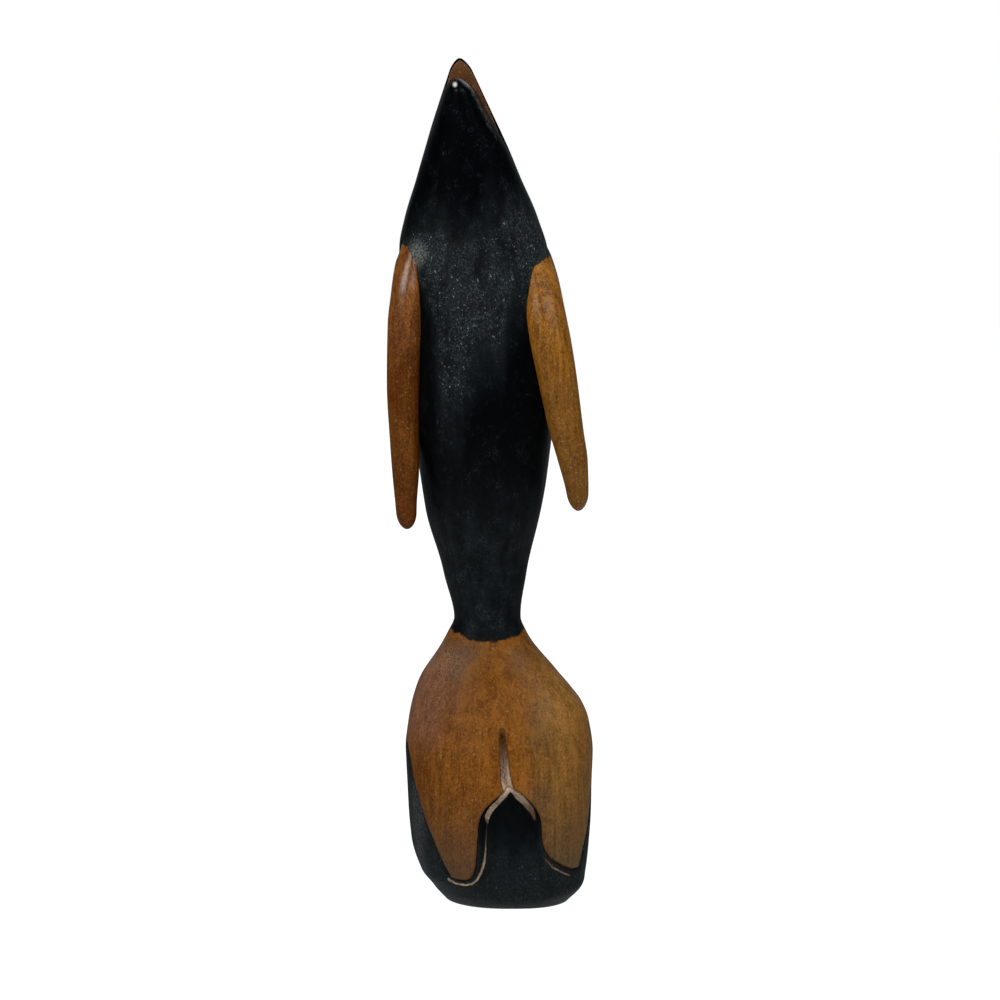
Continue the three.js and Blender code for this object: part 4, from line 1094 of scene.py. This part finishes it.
# %% Plain wood on the other pieces
finish("brown_wood_mouth", [mouth_lining],
       plain(wood, Light=(0.13, 0.048, 0.012, 1), Dark=(0.05, 0.018, 0.005, 1)), shine=0.25)
finish("brown_wood_fin", [dorsal_fin],
       plain(wood, Light=(0.26, 0.10, 0.015, 1), Dark=(0.10, 0.034, 0.005, 1), Redness=0.3), shine=0.25)
finish("eye_wood", [right_eye, left_eye],
       plain(wood, Light=(0.05, 0.025, 0.012, 1), Dark=(0.015, 0.008, 0.005, 1)), coat=0.8)
finish("dowel_wood", [solid for name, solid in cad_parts.items() if "dowel" in name],
       plain(wood, Light=(0.58, 0.40, 0.22, 1), Dark=(0.40, 0.26, 0.13, 1)))

# %% [markdown]
# ## Floor and world
#
# The photograph has a plain white ground. A floor that only caught light would come out grey, so for the
# camera it glows a little. Glossy black shows whatever is round it, and a white room would turn it grey.
# So only the camera sees white, and the figure stands in a dim room with a pale ground below and a faint
# glow behind.

# %% Floor
floor_mesh = bpy.data.meshes.new("floor")
floor_mesh.from_pydata([(-9, -9, 0), (9, -9, 0), (9, 9, 0), (-9, 9, 0)], [], [(0, 1, 2, 3)])
floor = bpy.data.objects.new("floor", floor_mesh)
bpy.context.scene.collection.objects.link(floor)
floor.visible_glossy = False
pale_floor = bpy.data.materials.new("pale_floor")
tree = fresh_tree(pale_floor)
seen = add(tree, "LightPath").outputs["Is Camera Ray"]
matt = add(tree, "BsdfDiffuse", {"Color": (0.86, 0.86, 0.85, 1)}).outputs[0]
glow = add(tree, "Emission", {"Color": (1, 1, 1, 1), "Strength": 1.24}).outputs[0]
floor_shader = add(tree, "MixShader", {0: times(tree, seen, 0.8), 1: matt, 2: glow})
tree.links.new(floor_shader.outputs[0], add(tree, "OutputMaterial").inputs["Surface"])
floor_mesh.materials.append(pale_floor)
print("floor at", floor.location.z, "m")

# %% World
world = bpy.data.worlds.new("studio")
bpy.context.scene.world = world
tree = fresh_tree(world)
seen = add(tree, "LightPath").outputs["Is Camera Ray"]
_, behind, upward = add(tree, "SeparateXYZ", {0: add(tree, "TexCoord").outputs["Generated"]}).outputs
from_below = between(tree, upward, -0.75, -0.2, 0.9, 0.02)
from_behind = between(tree, behind, 0.5, 0.95, 0.0, 0.15)
strength = maths(tree, "ADD", from_below, from_behind)
room = add(tree, "Background", {"Color": (0.9, 0.97, 1, 1), "Strength": strength})
ground = add(tree, "Background", {"Color": (1, 1, 1, 1), "Strength": 1.0})
view = add(tree, "MixShader", {0: seen, 1: room.outputs[0], 2: ground.outputs[0]})
tree.links.new(view.outputs[0], add(tree, "OutputWorld").inputs["Surface"])
bpy.context.scene.view_settings.view_transform = "Standard"
print(world.name, "with", len(tree.nodes), "nodes")

# %% [markdown]
# ## Lamps
#
# The light of the photograph is soft and comes from high in front. A sun would give hard edges to the
# sheen, so two broad lamps stand in front of the figure, and a weaker one behind it shows the back in
# other views.


# %% Lamps
def lamp(name, place, aim, width, height, power, colour):
    """A rectangular lamp that shines from its place at its aim, in metres and watts."""
    data = bpy.data.lights.new(name, "AREA")
    data.shape, data.size, data.size_y, data.energy, data.color = "RECTANGLE", width, height, power, colour
    made = bpy.data.objects.new(name, data)
    made.location = place
    beam = Vector(aim) - Vector(place)
    made.rotation_euler = beam.to_track_quat("-Z", "Y").to_euler()
    bpy.context.scene.collection.objects.link(made)
    print(name, round(beam.length, 2), "m away,", power, "W")


lamp("window", (-0.9, -1.05, 1.1), (0, 0, 0.15), 1.0, 0.7, 18, (1.0, 0.99, 0.97))
lamp("ceiling", (0.9, -0.9, 1.2), (0, 0, 0.1), 1.2, 0.6, 15, (0.97, 0.99, 1.0))
lamp("back", (0.3, 1.4, 1.2), (0, 0, 0.13), 1.2, 0.8, 9, (1.0, 1.0, 1.0))

# %% [markdown]
# ## Camera
#
# The picture was taken with a long lens, from a little above the figure's middle. The lens could be
# guessed, but the distance and the size in the picture give it: so many pixels for each millimetre of
# the figure.

# %% Camera
DISTANCE, LIFT, MIDDLE = 1.0, np.radians(7), 0.125
PIXELS_PER_MM, PICTURE_WIDTH = 3.3676, 1000
camera_data = bpy.data.cameras.new("camera")
camera_data.lens = PIXELS_PER_MM * DISTANCE / MM * camera_data.sensor_width / PICTURE_WIDTH
camera_data.shift_x, camera_data.shift_y = 0.0008, -0.0177
camera = bpy.data.objects.new("camera", camera_data)
camera.location = (0, -DISTANCE * np.cos(LIFT), MIDDLE + DISTANCE * np.sin(LIFT))
camera.rotation_euler = (np.pi / 2 - LIFT, 0, 0)
bpy.context.scene.collection.objects.link(camera)
bpy.context.scene.camera = camera
print("lens", round(camera_data.lens, 1), "mm")
